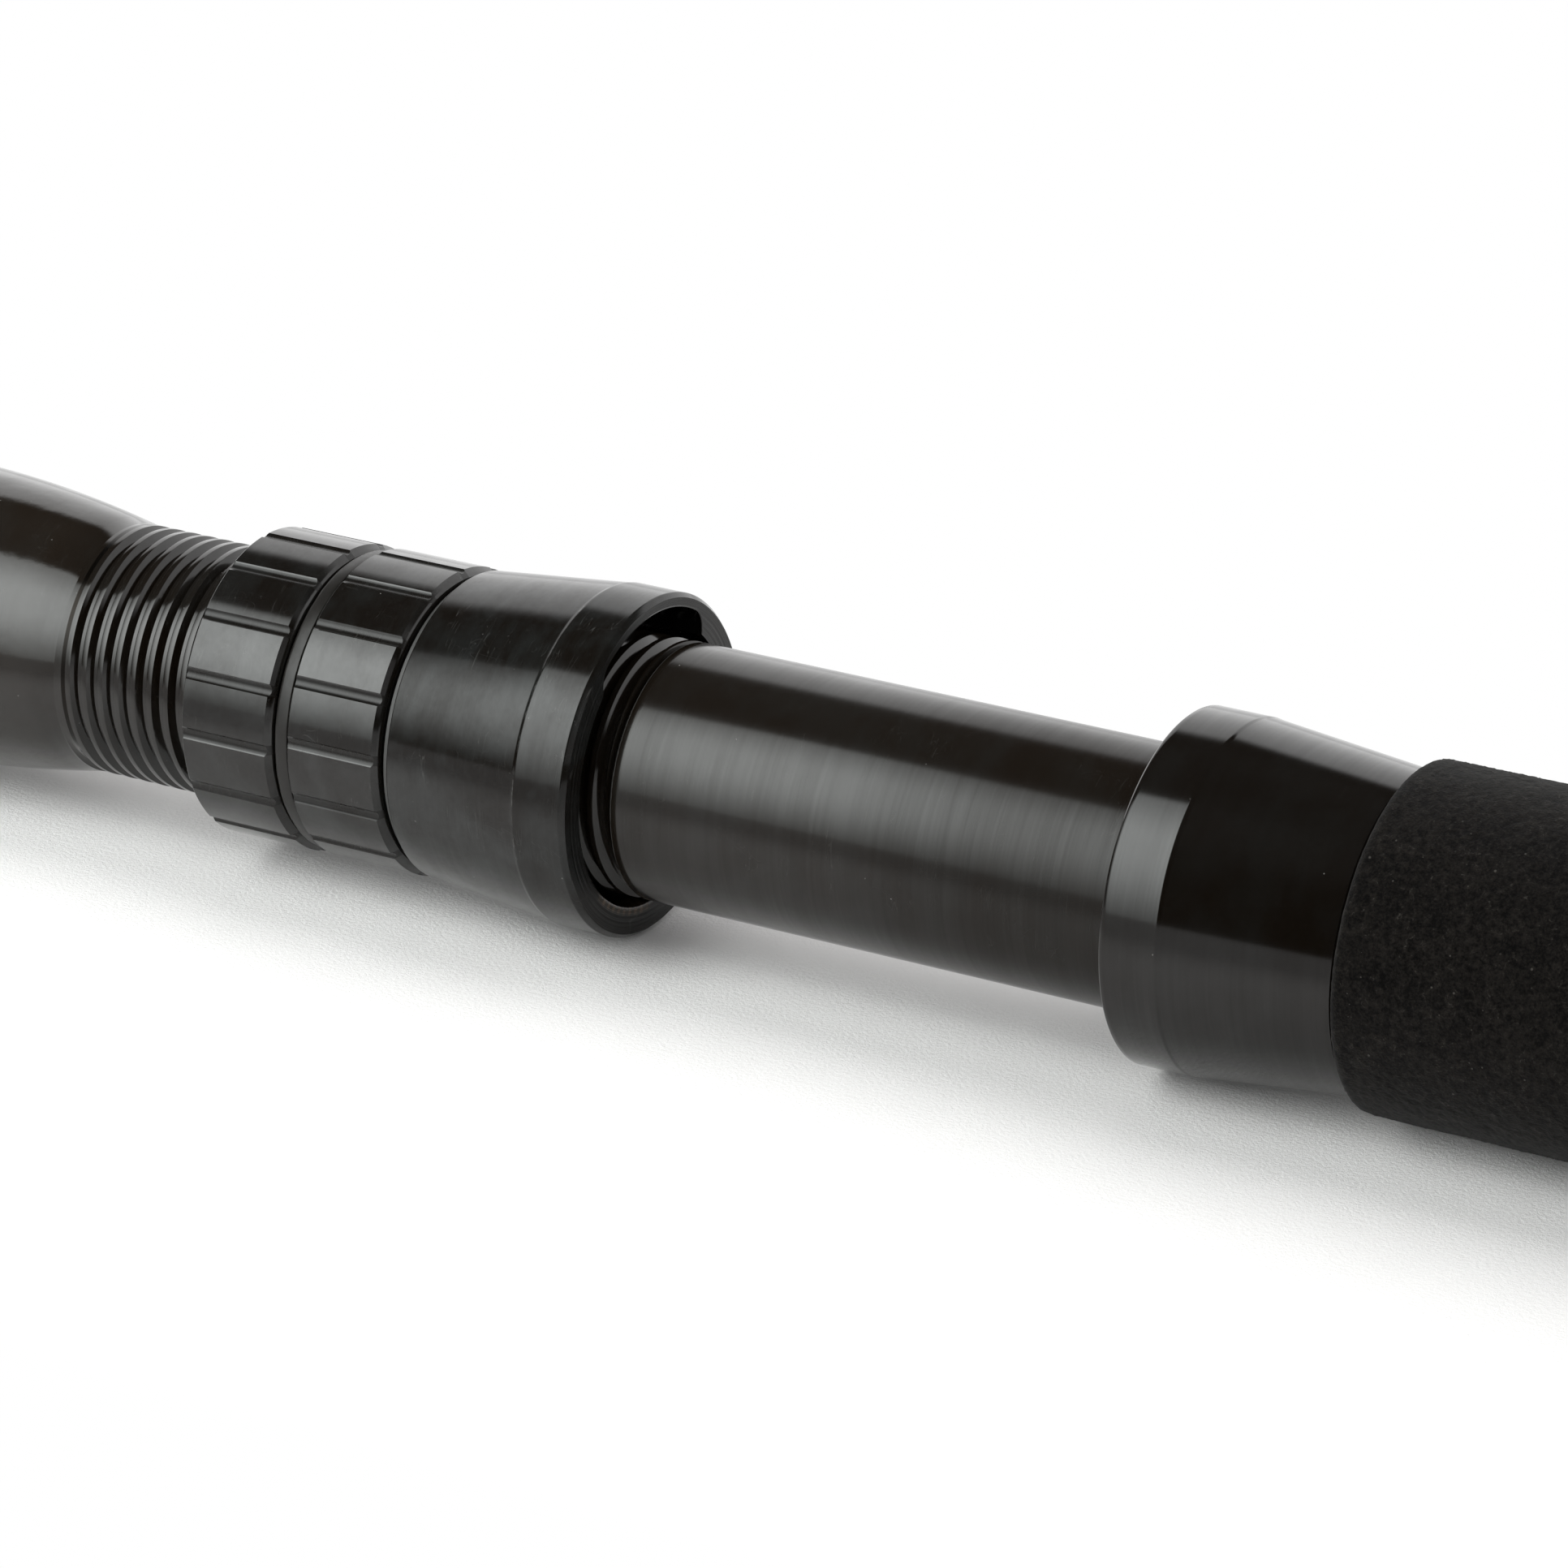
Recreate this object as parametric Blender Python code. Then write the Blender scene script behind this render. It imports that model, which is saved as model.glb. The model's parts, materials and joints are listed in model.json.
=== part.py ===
"""A stand-up fishing rod, lying level with its reel seat and roller guides on top.

+X runs from the gimbal nock to the tip-top and +Z is up. The origin is on the floor,
midway along the rod. A station is a distance from the nock's rear face, in metres.
"""
import math

import bmesh
import bpy
from mathutils import Vector

# Whole rod
ROD_LENGTH = 1.676
TOUCH_GAP = 0.0003
SIDES = 24
REST_STANDOFF = 0.0002
SHARP_ANGLE = math.radians(24)

# Butt and reel seat, one length of drawn tube
BUTT_RADIUS = 0.01905
BUTT_WALL = 0.003
BUTT_LENGTH = 0.2665
FLARE_LENGTH = 0.032
FLARE_STEPS = 7
BARREL_RADIUS = 0.015875
BARREL_WALL = 0.003175
SHOULDER_LENGTH = 0.0016
TUBE_BORE_CHAMFER = 0.0005

# Seat thread, right handed
THREAD_PITCH = 0.00244
THREAD_LENGTH = 0.0797
THREAD_DEPTH = 0.0008
GROOVE_WIDTH = 0.00119
THREAD_START_FACET = 7
THREAD_FADE_FACETS = 3
RELIEF_WIDTH = 0.0005
RELIEF_SLOPE = 0.0003

# Gimbal nock, its bumper and cross pin
NOCK_LENGTH = 0.022
NOCK_SPIGOT_LENGTH = 0.030
NOCK_SLOT_WIDTH = 0.0066
NOCK_SLOT_DEPTH = 0.010
NOCK_EDGE = 0.0012
BUMPER_WIDTH = 0.0097
BUMPER_SEAT_STEP = 0.00185
BUMPER_RISE = 0.00245
BUMPER_EDGE = 0.0015
PIN_RADIUS = 0.0025
PIN_SETBACK = 0.015

# Lock nuts, the rubber ring between them and the thrust washer ahead of them. A rise here
# and on the hoods is measured from the barrel's surface
NUT_SETBACK = 0.02125
NUT_RISE = 0.003475
NUT_LENGTH = 0.0129
NUT_BEVEL = 0.00086
NUT_GROOVES = 16
NUT_GROOVE_WIDTH = 0.00158
NUT_GROOVE_DEPTH = 0.00035
NUT_GROOVE_FLOOR = 0.4
REAR_NUT_TURN = 67.6
FRONT_NUT_TURN = 62.1
RING_RISE = 0.003025
RING_WIDTH = 0.0019
WASHER_RISE = 0.002425
WASHER_WIDTH = 0.00065
SLIDE_CLEARANCE = 0.0003

# Hoods
HOOD_RISE = 0.005425
HOOD_LENGTH = 0.02615
FIXED_HOOD_LENGTH = 0.0280
HOOD_BAND_LENGTH = 0.0071
HOOD_TAPER = 0.105
HOOD_EDGE = 0.00055
HOOD_SIDES = 36
COUNTERBORE_RISE = 0.001525
COUNTERBORE_DEPTH = 0.010
POCKET_RISE = 0.003675
POCKET_WIDTH = 0.0230
POCKET_CORNER = 0.003
POCKET_CORNER_STEPS = 4
POCKET_ROOF_STEPS = 8
POCKET_DEPTH = 0.014
SEAT_OPENING = 0.07095
HOOD_LIP_WIDTH = 0.0017

# Blank and the arbors that centre it in the barrel
BLANK_TIP_RADIUS = 0.003
BLANK_WALL = 0.0018
BLANK_SIDES = 16
BLANK_INSERTION = 0.141
ARBOR_LENGTH = 0.030
ARBOR_SETBACK = 0.004
ARBOR_WALL = 0.0011

# Foregrip, the ring that ends it and the winding ahead of that
GRIP_LENGTH = 0.2794
GRIP_SWELL_RISE = 0.0006
GRIP_FRONT_RADIUS = 0.0155
GRIP_EDGE = 0.001
GRIP_SWELL_PLACE = 0.68
GRIP_SWELL_STEPS = 3
GRIP_NOSE_STEPS = 5
CHECK_LENGTH = 0.006
CHECK_FRONT_RADIUS = 0.0118
WINDING_LENGTH = 0.025
WINDING_THICKNESS = 0.0007

# Roller guides. Sizes are of the first guide, and later ones are smaller. The bare blank from
# the first guide to the rod's end is shared out in the proportion of the spacings
FIRST_GUIDE_AHEAD = 0.0917
GUIDE_SPACINGS = (0.185, 0.165, 0.150, 0.135, 0.140)
LAST_GUIDE_SCALE = 0.66
FOOT_REACH = 0.030
FOOT_HALF_WIDTH = 0.0032
FOOT_TOE_HALF_WIDTH = 0.0020
PLATE_THICKNESS = 0.0014
CHEEK_REACH = 0.0125
CHEEK_TOP_REACH = 0.0042
CHEEK_TOP_TURNS = (0, 0.6, 1.2)
CHEEK_SPACING = 0.0126
AXLE_HEIGHT = 0.0085
AXLE_RADIUS = 0.0015
AXLE_HEAD_RADIUS = 0.0032
AXLE_HEAD_HEIGHT = 0.0012
BUSHING_RADIUS = 0.0025
ROLLER_RADIUS = 0.0058
ROLLER_WAIST_RADIUS = 0.0042
ROLLER_RIM = 0.0012
LINE_GAP = 0.0072
KEEPER_RADIUS = 0.0011
KEEPER_COLLAR = 0.0009
WRAP_REACH = 0.0055
WRAP_STEPS = 10
ROLLER_SIDES = 12

# Roller tip-top, made to the last guide's scale
TIP_SOCKET_LENGTH = 0.016
TIP_SOCKET_WALL = 0.001
TIP_CHEEK_LENGTH = 0.019
TIP_CHEEK_ROUND = 0.0064
TIP_CHEEK_HEIGHT = 0.011
TIP_CHEEK_DIP = 0.8
TIP_CHEEK_STEPS = 5

# Stations of the main pieces
butt_start = NOCK_LENGTH
flare_start = butt_start + BUTT_LENGTH
flare_end = flare_start + FLARE_LENGTH
thread_start = flare_end + SHOULDER_LENGTH
relief_start = thread_start + THREAD_LENGTH
barrel_start = relief_start + RELIEF_WIDTH
rear_nut_start = thread_start + NUT_SETBACK
ring_start = rear_nut_start + NUT_LENGTH + TOUCH_GAP
front_nut_start = ring_start + RING_WIDTH + TOUCH_GAP
washer_start = front_nut_start + NUT_LENGTH + TOUCH_GAP
hood_start = washer_start + WASHER_WIDTH + TOUCH_GAP
hood_mouth = hood_start + HOOD_LENGTH
fixed_hood_mouth = hood_mouth + SEAT_OPENING
fixed_hood_end = fixed_hood_mouth + FIXED_HOOD_LENGTH
tube_end = fixed_hood_end - HOOD_LIP_WIDTH - TOUCH_GAP
blank_start = fixed_hood_end - BLANK_INSERTION
grip_start = fixed_hood_end + TOUCH_GAP
grip_end = grip_start + GRIP_LENGTH
check_start = grip_end + TOUCH_GAP
winding_start = check_start + CHECK_LENGTH + TOUCH_GAP
first_guide = winding_start + WINDING_LENGTH + FIRST_GUIDE_AHEAD
guide_stretch = (ROD_LENGTH - first_guide) / sum(GUIDE_SPACINGS)

# Radii that follow the butt and the barrel
slide_bore = BARREL_RADIUS + SLIDE_CLEARANCE
barrel_bore = BARREL_RADIUS - BARREL_WALL
blank_rear_radius = barrel_bore - ARBOR_WALL - 2 * TOUCH_GAP
nut_radius = BARREL_RADIUS + NUT_RISE
ring_radius = BARREL_RADIUS + RING_RISE
washer_radius = BARREL_RADIUS + WASHER_RISE
hood_radius = BARREL_RADIUS + HOOD_RISE
counterbore_radius = BARREL_RADIUS + COUNTERBORE_RISE
pocket_radius = BARREL_RADIUS + POCKET_RISE
bumper_seat_radius = BUTT_RADIUS - BUMPER_SEAT_STEP
rest_radius = max(hood_radius + REST_STANDOFF, BUTT_RADIUS + BUMPER_RISE)
grip_rear_radius = rest_radius - GRIP_SWELL_RISE

# Facets are level below, so the rest height is an apothem
half_facet = math.pi / SIDES
axis_height = rest_radius * math.cos(half_facet)
tip_scale = LAST_GUIDE_SCALE
tip_socket_end = ROD_LENGTH - TIP_CHEEK_LENGTH * tip_scale
blank_end = tip_socket_end - TOUCH_GAP


def clear_scene():
    for thing in list(bpy.data.objects):
        bpy.data.objects.remove(thing, do_unlink=True)


def new_material(name, colour, roughness, metallic):
    material = bpy.data.materials.new(name)
    material.use_nodes = True
    shader = material.node_tree.nodes["Principled BSDF"]
    shader.inputs["Base Color"].default_value = (*colour, 1.0)
    shader.inputs["Roughness"].default_value = roughness
    shader.inputs["Metallic"].default_value = metallic
    material.diffuse_color = (*colour, 1.0)
    return material


def rod_place(station, height=0.0):
    """The point over the rod's axis at a station, in the part's frame."""
    return Vector((station - ROD_LENGTH / 2, 0.0, axis_height + height))


def new_object(name, bm, material, place):
    """Closes a bmesh into a named object. Its vertices are measured from its place."""
    bmesh.ops.recalc_face_normals(bm, faces=bm.faces)
    mesh = bpy.data.meshes.new(name)
    bm.to_mesh(mesh)
    bm.free()
    mesh.materials.append(material)
    thing = bpy.data.objects.new(name, mesh)
    thing.location = place
    bpy.context.collection.objects.link(thing)
    return thing


def boolean(thing, bm, operation, label):
    """Cuts away or joins a solid given in the thing's own coordinates, and keeps no helper."""
    helper = new_object(f"{thing.name}_{label}", bm, thing.data.materials[0], (0, 0, 0))
    helper.parent = thing
    modifier = thing.modifiers.new(label, "BOOLEAN")
    modifier.operation = operation
    modifier.solver = "EXACT"
    modifier.object = helper
    bpy.context.view_layer.update()
    cut = thing.evaluated_get(bpy.context.evaluated_depsgraph_get())
    mesh = bpy.data.meshes.new_from_object(cut)
    thing.modifiers.remove(modifier)
    thing.data = mesh
    mesh.name = thing.name
    bpy.data.objects.remove(helper, do_unlink=True)


def shade(sharp_angle):
    """Smooth shading over round surfaces, with creases where faces meet at the angle or more."""
    for thing in bpy.data.objects:
        if thing.type == "MESH":
            thing.data.shade_smooth()
            thing.data.set_sharp_from_angle(angle=sharp_angle)


def ring(bm, x, radius, sides=SIDES):
    """A ring of vertices square to X, with a level facet on top and below."""
    step = 2 * math.pi / sides
    turns = [(k + 0.5) * step for k in range(sides)]
    return [bm.verts.new(around(x, radius, turn)) for turn in turns]


def around(x, radius, turn):
    """A point round the X axis. A turn of 0 is up, and grows by the right hand about +X."""
    return Vector((x, -radius * math.sin(turn), radius * math.cos(turn)))


def join_rings(bm, first, second):
    count = len(first)
    for k in range(count):
        after = (k + 1) % count
        bm.faces.new((first[k], first[after], second[after], second[k]))


def turned(profile, sides=SIDES):
    """A solid turned about X. The profile is a closed list of (x, radius), or runs axis to axis."""
    bm = bmesh.new()
    rings = [ring(bm, x, radius, sides) for x, radius in profile if radius > 0]
    for first, second in zip(rings, rings[1:]):
        join_rings(bm, first, second)
    if len(rings) == len(profile):
        join_rings(bm, rings[-1], rings[0])
    else:
        bm.faces.new(rings[0])
        bm.faces.new(rings[-1])
    return bm


def plug(start, end, radius, sides=SIDES):
    """A plain round bar along X."""
    return turned([(start, 0), (start, radius), (end, radius), (end, 0)], sides)


def prism(outline, axis, low, high):
    """Extrudes a flat outline, given in the other two axes in order, along an axis."""
    bm = bmesh.new()
    ends = []
    for level in (low, high):
        corners = []
        for first, second in outline:
            point = [first, second]
            point.insert("XYZ".index(axis), level)
            corners.append(bm.verts.new(point))
        ends.append(corners)
        bm.faces.new(corners)
    join_rings(bm, *ends)
    return bm


def box_outline(left, right, low, high):
    return [(left, low), (right, low), (right, high), (left, high)]


def lay_along_y(bm):
    """Turns a solid made along X so that it runs along Y."""
    for vert in bm.verts:
        vert.co = Vector((-vert.co.y, vert.co.x, vert.co.z))
    return bm


def smooth_step(share):
    share = min(max(share, 0.0), 1.0)
    return share * share * (3 - 2 * share)


def groove_station(turn):
    """Station of the thread groove's root at a turn, in radians, from where the groove starts."""
    return thread_start + THREAD_PITCH * turn / (2 * math.pi)


def add_thread(bm, start_ring, end_ring, origin, crest, width, depth, lead_in=0):
    """Cuts a helical groove between two rings of SIDES vertices, and fades it out at both ends.

    The groove follows groove_station, measured from the station given as origin. It starts
    lead_in whole turns early, and it ends one groove width short of the end ring.
    """
    first_station = groove_station(-2 * math.pi * lead_in)
    end_station = origin + end_ring[0].co.x
    facets = int((end_station - width - first_station) / THREAD_PITCH * SIDES)
    sections = []
    for k in range(facets + 1):
        turn = 2 * math.pi * (k / SIDES - lead_in)
        angle = turn + 2 * math.pi * (THREAD_START_FACET + 0.5) / SIDES
        fade = smooth_step(min(k, facets - k) / THREAD_FADE_FACETS)
        centre = groove_station(turn) - origin
        points = ((centre - width / 2, crest), (centre, crest - depth * fade), (centre + width / 2, crest))
        sections.append([bm.verts.new(around(x, radius, angle)) for x, radius in points])

    def at(end, k):
        return end[(THREAD_START_FACET + k) % SIDES]

    for one, two in zip(sections, sections[1:]):
        bm.faces.new((one[0], two[0], two[1], one[1]))
        bm.faces.new((one[1], two[1], two[2], one[2]))
    for k in range(facets - SIDES):
        one, two = sections[k], sections[k + 1]
        bm.faces.new((one[2], two[2], sections[k + 1 + SIDES][0], sections[k + SIDES][0]))
    for k in range(SIDES - 1):
        bm.faces.new((at(start_ring, k), at(start_ring, k + 1), sections[k + 1][0], sections[k][0]))
    last = SIDES - 1
    bm.faces.new((at(start_ring, last), at(start_ring, 0), *sections[0], sections[SIDES][0],
                  sections[last][0]))
    for k in range(facets - SIDES + 1, facets):
        bm.faces.new((sections[k][2], sections[k + 1][2], at(end_ring, k + 1), at(end_ring, k)))
    seam = facets - SIDES
    bm.faces.new((sections[seam][2], *sections[facets], at(end_ring, seam), at(end_ring, seam + 1),
                  sections[seam + 1][2]))


def internal_thread(length, origin):
    """A cutter that leaves a nut's thread, a clearance away from the tube's, from 0 to length."""
    half_angle = math.atan2(GROOVE_WIDTH / 2, THREAD_DEPTH)
    crest = BARREL_RADIUS + TOUCH_GAP
    tip = BARREL_RADIUS - THREAD_DEPTH + TOUCH_GAP / math.sin(half_angle)
    depth = crest - tip
    bm = bmesh.new()
    lead = 2 * THREAD_PITCH
    start_ring = ring(bm, -lead, crest)
    end_ring = ring(bm, length + lead, crest)
    turns_early = math.floor((thread_start - origin + lead) / THREAD_PITCH) - 1
    width = 2 * depth * math.tan(half_angle)
    add_thread(bm, start_ring, end_ring, origin, crest, width, depth, turns_early)
    bm.faces.new(start_ring)
    bm.faces.new(end_ring)
    return bm


def blank_radius(station):
    """Outer radius of the blank, straight as far as the grip and tapered from there."""
    share = (station - grip_start) / (ROD_LENGTH - grip_start)
    return blank_rear_radius + (BLANK_TIP_RADIUS - blank_rear_radius) * max(share, 0.0)


blank_slope = (blank_rear_radius - BLANK_TIP_RADIUS) / (ROD_LENGTH - grip_start)


def hood_profile_radius(from_mouth):
    """Outer radius of either hood: a plain band at the mouth, then a straight taper."""
    return hood_radius - HOOD_TAPER * max(from_mouth - HOOD_BAND_LENGTH, 0.0)


def make_butt_tube(material):
    """Butt and seat tube: straight butt, flare, thread, relief and plain barrel, with its bore."""
    origin = butt_start
    bm = bmesh.new()
    shares = [k / FLARE_STEPS for k in range(1, FLARE_STEPS)]
    flare = [(flare_start + FLARE_LENGTH * share, share * share) for share in shares]
    outer = [(butt_start, BUTT_RADIUS), (flare_start, BUTT_RADIUS)]
    outer += [(x, BUTT_RADIUS + (BARREL_RADIUS - BUTT_RADIUS) * blend) for x, blend in flare]
    outer += [(flare_end, BARREL_RADIUS)]
    root = BARREL_RADIUS - THREAD_DEPTH
    beyond = [(relief_start - RELIEF_SLOPE, BARREL_RADIUS), (relief_start, root)]
    beyond += [(barrel_start - RELIEF_SLOPE, root), (barrel_start, BARREL_RADIUS)]
    beyond += [(tube_end, BARREL_RADIUS), (tube_end, barrel_bore + TUBE_BORE_CHAMFER)]
    beyond += [(tube_end - TUBE_BORE_CHAMFER, barrel_bore)]
    bore = BUTT_RADIUS - BUTT_WALL
    inner = [(flare_end, barrel_bore)]
    inner += [(x, bore + (barrel_bore - bore) * blend) for x, blend in reversed(flare)]
    inner += [(flare_start, bore), (butt_start, bore)]
    rear = [ring(bm, x - origin, radius) for x, radius in outer]
    ahead = [ring(bm, x - origin, radius) for x, radius in beyond + inner]
    for rings in (rear, ahead):
        for first, second in zip(rings, rings[1:]):
            join_rings(bm, first, second)
    join_rings(bm, ahead[-1], rear[0])
    add_thread(bm, rear[-1], ahead[0], origin, BARREL_RADIUS, GROOVE_WIDTH, THREAD_DEPTH)
    tube = new_object("butt_tube", bm, material, rod_place(origin))
    reach = BUTT_RADIUS + BUTT_WALL
    pin_hole = lay_along_y(plug(-reach, reach, PIN_RADIUS + TOUCH_GAP, ROLLER_SIDES))
    bmesh.ops.translate(pin_hole, verts=pin_hole.verts, vec=(PIN_SETBACK, 0, 0))
    boolean(tube, pin_hole, "DIFFERENCE", "pin_hole")


def make_nock(metal, rubber, steel):
    """Gimbal nock with crossed slots, the rubber bumper round it and the pin that holds it."""
    spigot = BUTT_RADIUS - BUTT_WALL - TOUCH_GAP
    flange_end = NOCK_LENGTH - BUMPER_WIDTH - 2 * TOUCH_GAP
    seat_end = NOCK_LENGTH - TOUCH_GAP
    spigot_end = NOCK_LENGTH + NOCK_SPIGOT_LENGTH
    profile = [(0, 0), (0, BUTT_RADIUS - NOCK_EDGE), (NOCK_EDGE, BUTT_RADIUS), (flange_end, BUTT_RADIUS)]
    profile += [(flange_end, bumper_seat_radius), (seat_end, bumper_seat_radius), (seat_end, spigot)]
    profile += [(spigot_end, spigot), (spigot_end, 0)]
    nock = new_object("gimbal_nock", turned(profile), metal, rod_place(0))
    half = NOCK_SLOT_WIDTH / 2
    reach = 2 * BUTT_RADIUS
    for axis in "YZ":
        slot = prism(box_outline(-reach, NOCK_SLOT_DEPTH, -half, half), axis, -reach, reach)
        boolean(nock, slot, "DIFFERENCE", f"slot_{axis}")
    pin_station = butt_start + PIN_SETBACK
    pin_hole = lay_along_y(plug(-reach, reach, PIN_RADIUS + TOUCH_GAP, ROLLER_SIDES))
    bmesh.ops.translate(pin_hole, verts=pin_hole.verts, vec=(pin_station, 0, 0))
    boolean(nock, pin_hole, "DIFFERENCE", "pin_hole")

    bumper_start = flange_end + TOUCH_GAP
    bumper_end = bumper_start + BUMPER_WIDTH
    bore = bumper_seat_radius + TOUCH_GAP
    low = rest_radius - BUMPER_EDGE
    profile = [(bumper_start, low), (bumper_start + BUMPER_EDGE, rest_radius)]
    profile += [(bumper_end - BUMPER_EDGE, rest_radius), (bumper_end, low)]
    profile += [(bumper_end, bore), (bumper_start, bore)]
    new_object("gimbal_bumper", turned(profile), rubber, rod_place(0))

    half = BUTT_RADIUS - TOUCH_GAP
    pin = lay_along_y(plug(-half, half, PIN_RADIUS, ROLLER_SIDES))
    new_object("gimbal_pin", pin, steel, rod_place(pin_station))


def grooved_ring(bm, x_at, radius_cap, turn):
    """A ring of vertices round a nut, none of them further out than radius_cap."""
    verts = []
    period = 2 * math.pi / NUT_GROOVES
    half = NUT_GROOVE_WIDTH / 2 / nut_radius
    low = nut_radius - NUT_GROOVE_DEPTH
    floor = NUT_GROOVE_FLOOR * half
    outline = ((-half, nut_radius), (-floor, low), (floor, low), (half, nut_radius),
               (period / 2, nut_radius))
    for k in range(NUT_GROOVES):
        for offset, radius in outline:
            held = min(radius, radius_cap)
            verts.append(bm.verts.new(around(x_at(held), held, math.radians(turn) + k * period + offset)))
    return verts


def make_nut(name, start, turn, material):
    """A lock nut: a land with fine grooves along it, a bevel ahead, and its internal thread."""
    foot = nut_radius - NUT_BEVEL
    bm = bmesh.new()
    rear = grooved_ring(bm, lambda radius: 0.0, nut_radius, turn)
    brow = grooved_ring(bm, lambda radius: NUT_LENGTH - (radius - foot), nut_radius, turn)
    face = grooved_ring(bm, lambda radius: NUT_LENGTH, foot, turn)
    join_rings(bm, rear, brow)
    join_rings(bm, brow, face)
    bm.faces.new(rear)
    bm.faces.new(face)
    nut = new_object(name, bm, material, rod_place(start))
    boolean(nut, internal_thread(NUT_LENGTH, start), "DIFFERENCE", "thread")


def make_rings(rubber, nylon):
    """The rubber ring pinched between the nuts, and the washer that the front nut pushes."""
    edge = TOUCH_GAP
    profile = [(0, ring_radius - edge), (edge, ring_radius), (RING_WIDTH, ring_radius)]
    profile += [(RING_WIDTH, slide_bore), (0, slide_bore)]
    new_object("nut_gasket", turned(profile), rubber, rod_place(ring_start))
    profile = [(0, washer_radius), (WASHER_WIDTH, washer_radius)]
    profile += [(WASHER_WIDTH, slide_bore), (0, slide_bore)]
    new_object("thrust_washer", turned(profile), nylon, rod_place(washer_start))


def pocket_outline():
    """The reel foot's pocket seen along the rod: flat sides, round corners and a round roof."""
    side = POCKET_WIDTH / 2
    corner_y = side - POCKET_CORNER
    corner_z = math.sqrt((pocket_radius - POCKET_CORNER) ** 2 - corner_y ** 2)
    lean = math.atan2(corner_z, corner_y)
    floor = counterbore_radius / 2
    right = [(side, floor)]
    for k in range(POCKET_CORNER_STEPS + 1):
        angle = lean * k / POCKET_CORNER_STEPS
        right.append((corner_y + POCKET_CORNER * math.cos(angle),
                      corner_z + POCKET_CORNER * math.sin(angle)))
    roof = []
    for k in range(1, POCKET_ROOF_STEPS):
        angle = lean + (math.pi - 2 * lean) * k / POCKET_ROOF_STEPS
        roof.append((pocket_radius * math.cos(angle), pocket_radius * math.sin(angle)))
    left = [(-y, z) for y, z in reversed(right)]
    return right + roof + left


def make_hood(name, length, tail, material, place, facing):
    """A hood with its mouth at 0 and its body behind it, away from the side that it faces.

    The tail is the bore's profile from its end back to the counterbore, as (depth, radius).
    """
    rim = hood_radius - HOOD_EDGE
    outer = [(0, counterbore_radius), (0, rim), (HOOD_EDGE, hood_radius), (HOOD_BAND_LENGTH, hood_radius)]
    outer += [(length, hood_profile_radius(length))]
    profile = outer + tail + [(COUNTERBORE_DEPTH, slide_bore), (COUNTERBORE_DEPTH, counterbore_radius)]
    solid = turned([(-facing * depth, radius) for depth, radius in profile], HOOD_SIDES)
    hood = new_object(name, solid, material, place)
    boolean(hood, prism(pocket_outline(), "X", -POCKET_DEPTH, POCKET_DEPTH), "DIFFERENCE", "pocket")


def make_hoods(material):
    make_hood("sliding_hood", HOOD_LENGTH, [(HOOD_LENGTH, slide_bore)], material, rod_place(hood_mouth), 1)
    lip = FIXED_HOOD_LENGTH - HOOD_LIP_WIDTH
    through = blank_rear_radius + TOUCH_GAP
    tail = [(FIXED_HOOD_LENGTH, through), (lip, through), (lip, slide_bore)]
    make_hood("fixed_hood", FIXED_HOOD_LENGTH, tail, material, rod_place(fixed_hood_mouth), -1)


def make_blank(glass, cork):
    """The tapered tubular blank, and two arbors between it and the barrel's bore."""
    radii = [(x, blank_radius(x)) for x in (blank_start, grip_start, blank_end)]
    bore = [(x, radius - BLANK_WALL) for x, radius in reversed(radii)]
    profile = [(x - blank_start, radius) for x, radius in radii + bore]
    new_object("blank", turned(profile, BLANK_SIDES), glass, rod_place(blank_start))
    outer = barrel_bore - TOUCH_GAP
    inner = blank_rear_radius + TOUCH_GAP
    profile = [(0, outer), (ARBOR_LENGTH, outer), (ARBOR_LENGTH, inner), (0, inner)]
    rear = blank_start + ARBOR_SETBACK
    front = tube_end - ARBOR_SETBACK - ARBOR_LENGTH
    for name, station in (("rear_arbor", rear), ("front_arbor", front)):
        new_object(name, turned(profile), cork, rod_place(station))


def make_foregrip(foam, metal, thread):
    """The foam foregrip, the ring that ends it and the winding ahead of the ring."""
    swell = GRIP_LENGTH * GRIP_SWELL_PLACE
    nose = GRIP_LENGTH - swell
    outer = [(0, grip_rear_radius - GRIP_EDGE), (GRIP_EDGE, grip_rear_radius)]
    for k in range(1, GRIP_SWELL_STEPS + 1):
        share = k / GRIP_SWELL_STEPS
        outer.append((GRIP_EDGE + (swell - GRIP_EDGE) * share,
                      grip_rear_radius + (rest_radius - grip_rear_radius) * share))
    for k in range(1, GRIP_NOSE_STEPS + 1):
        angle = math.pi / 2 * k / GRIP_NOSE_STEPS
        drop = (rest_radius - GRIP_FRONT_RADIUS) * (1 - math.cos(angle))
        outer.append((swell + nose * math.sin(angle), rest_radius - drop))
    bore = [(GRIP_LENGTH, blank_radius(grip_end) + TOUCH_GAP), (0, blank_radius(grip_start) + TOUCH_GAP)]
    new_object("foregrip", turned(outer + bore), foam, rod_place(grip_start))

    inner = [blank_radius(check_start + x) + TOUCH_GAP for x in (CHECK_LENGTH, 0)]
    profile = [(0, GRIP_FRONT_RADIUS), (CHECK_LENGTH / 3, GRIP_FRONT_RADIUS)]
    profile += [(CHECK_LENGTH, CHECK_FRONT_RADIUS), (CHECK_LENGTH, inner[0]), (0, inner[1])]
    new_object("winding_check", turned(profile), metal, rod_place(check_start))

    ends = [blank_radius(winding_start + x) + TOUCH_GAP for x in (0, WINDING_LENGTH)]
    profile = [(0, ends[0] + WINDING_THICKNESS), (WINDING_LENGTH, ends[1] + WINDING_THICKNESS)]
    profile += [(WINDING_LENGTH, ends[1]), (0, ends[0])]
    new_object("foregrip_winding", turned(profile, BLANK_SIDES), thread, rod_place(winding_start))


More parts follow.
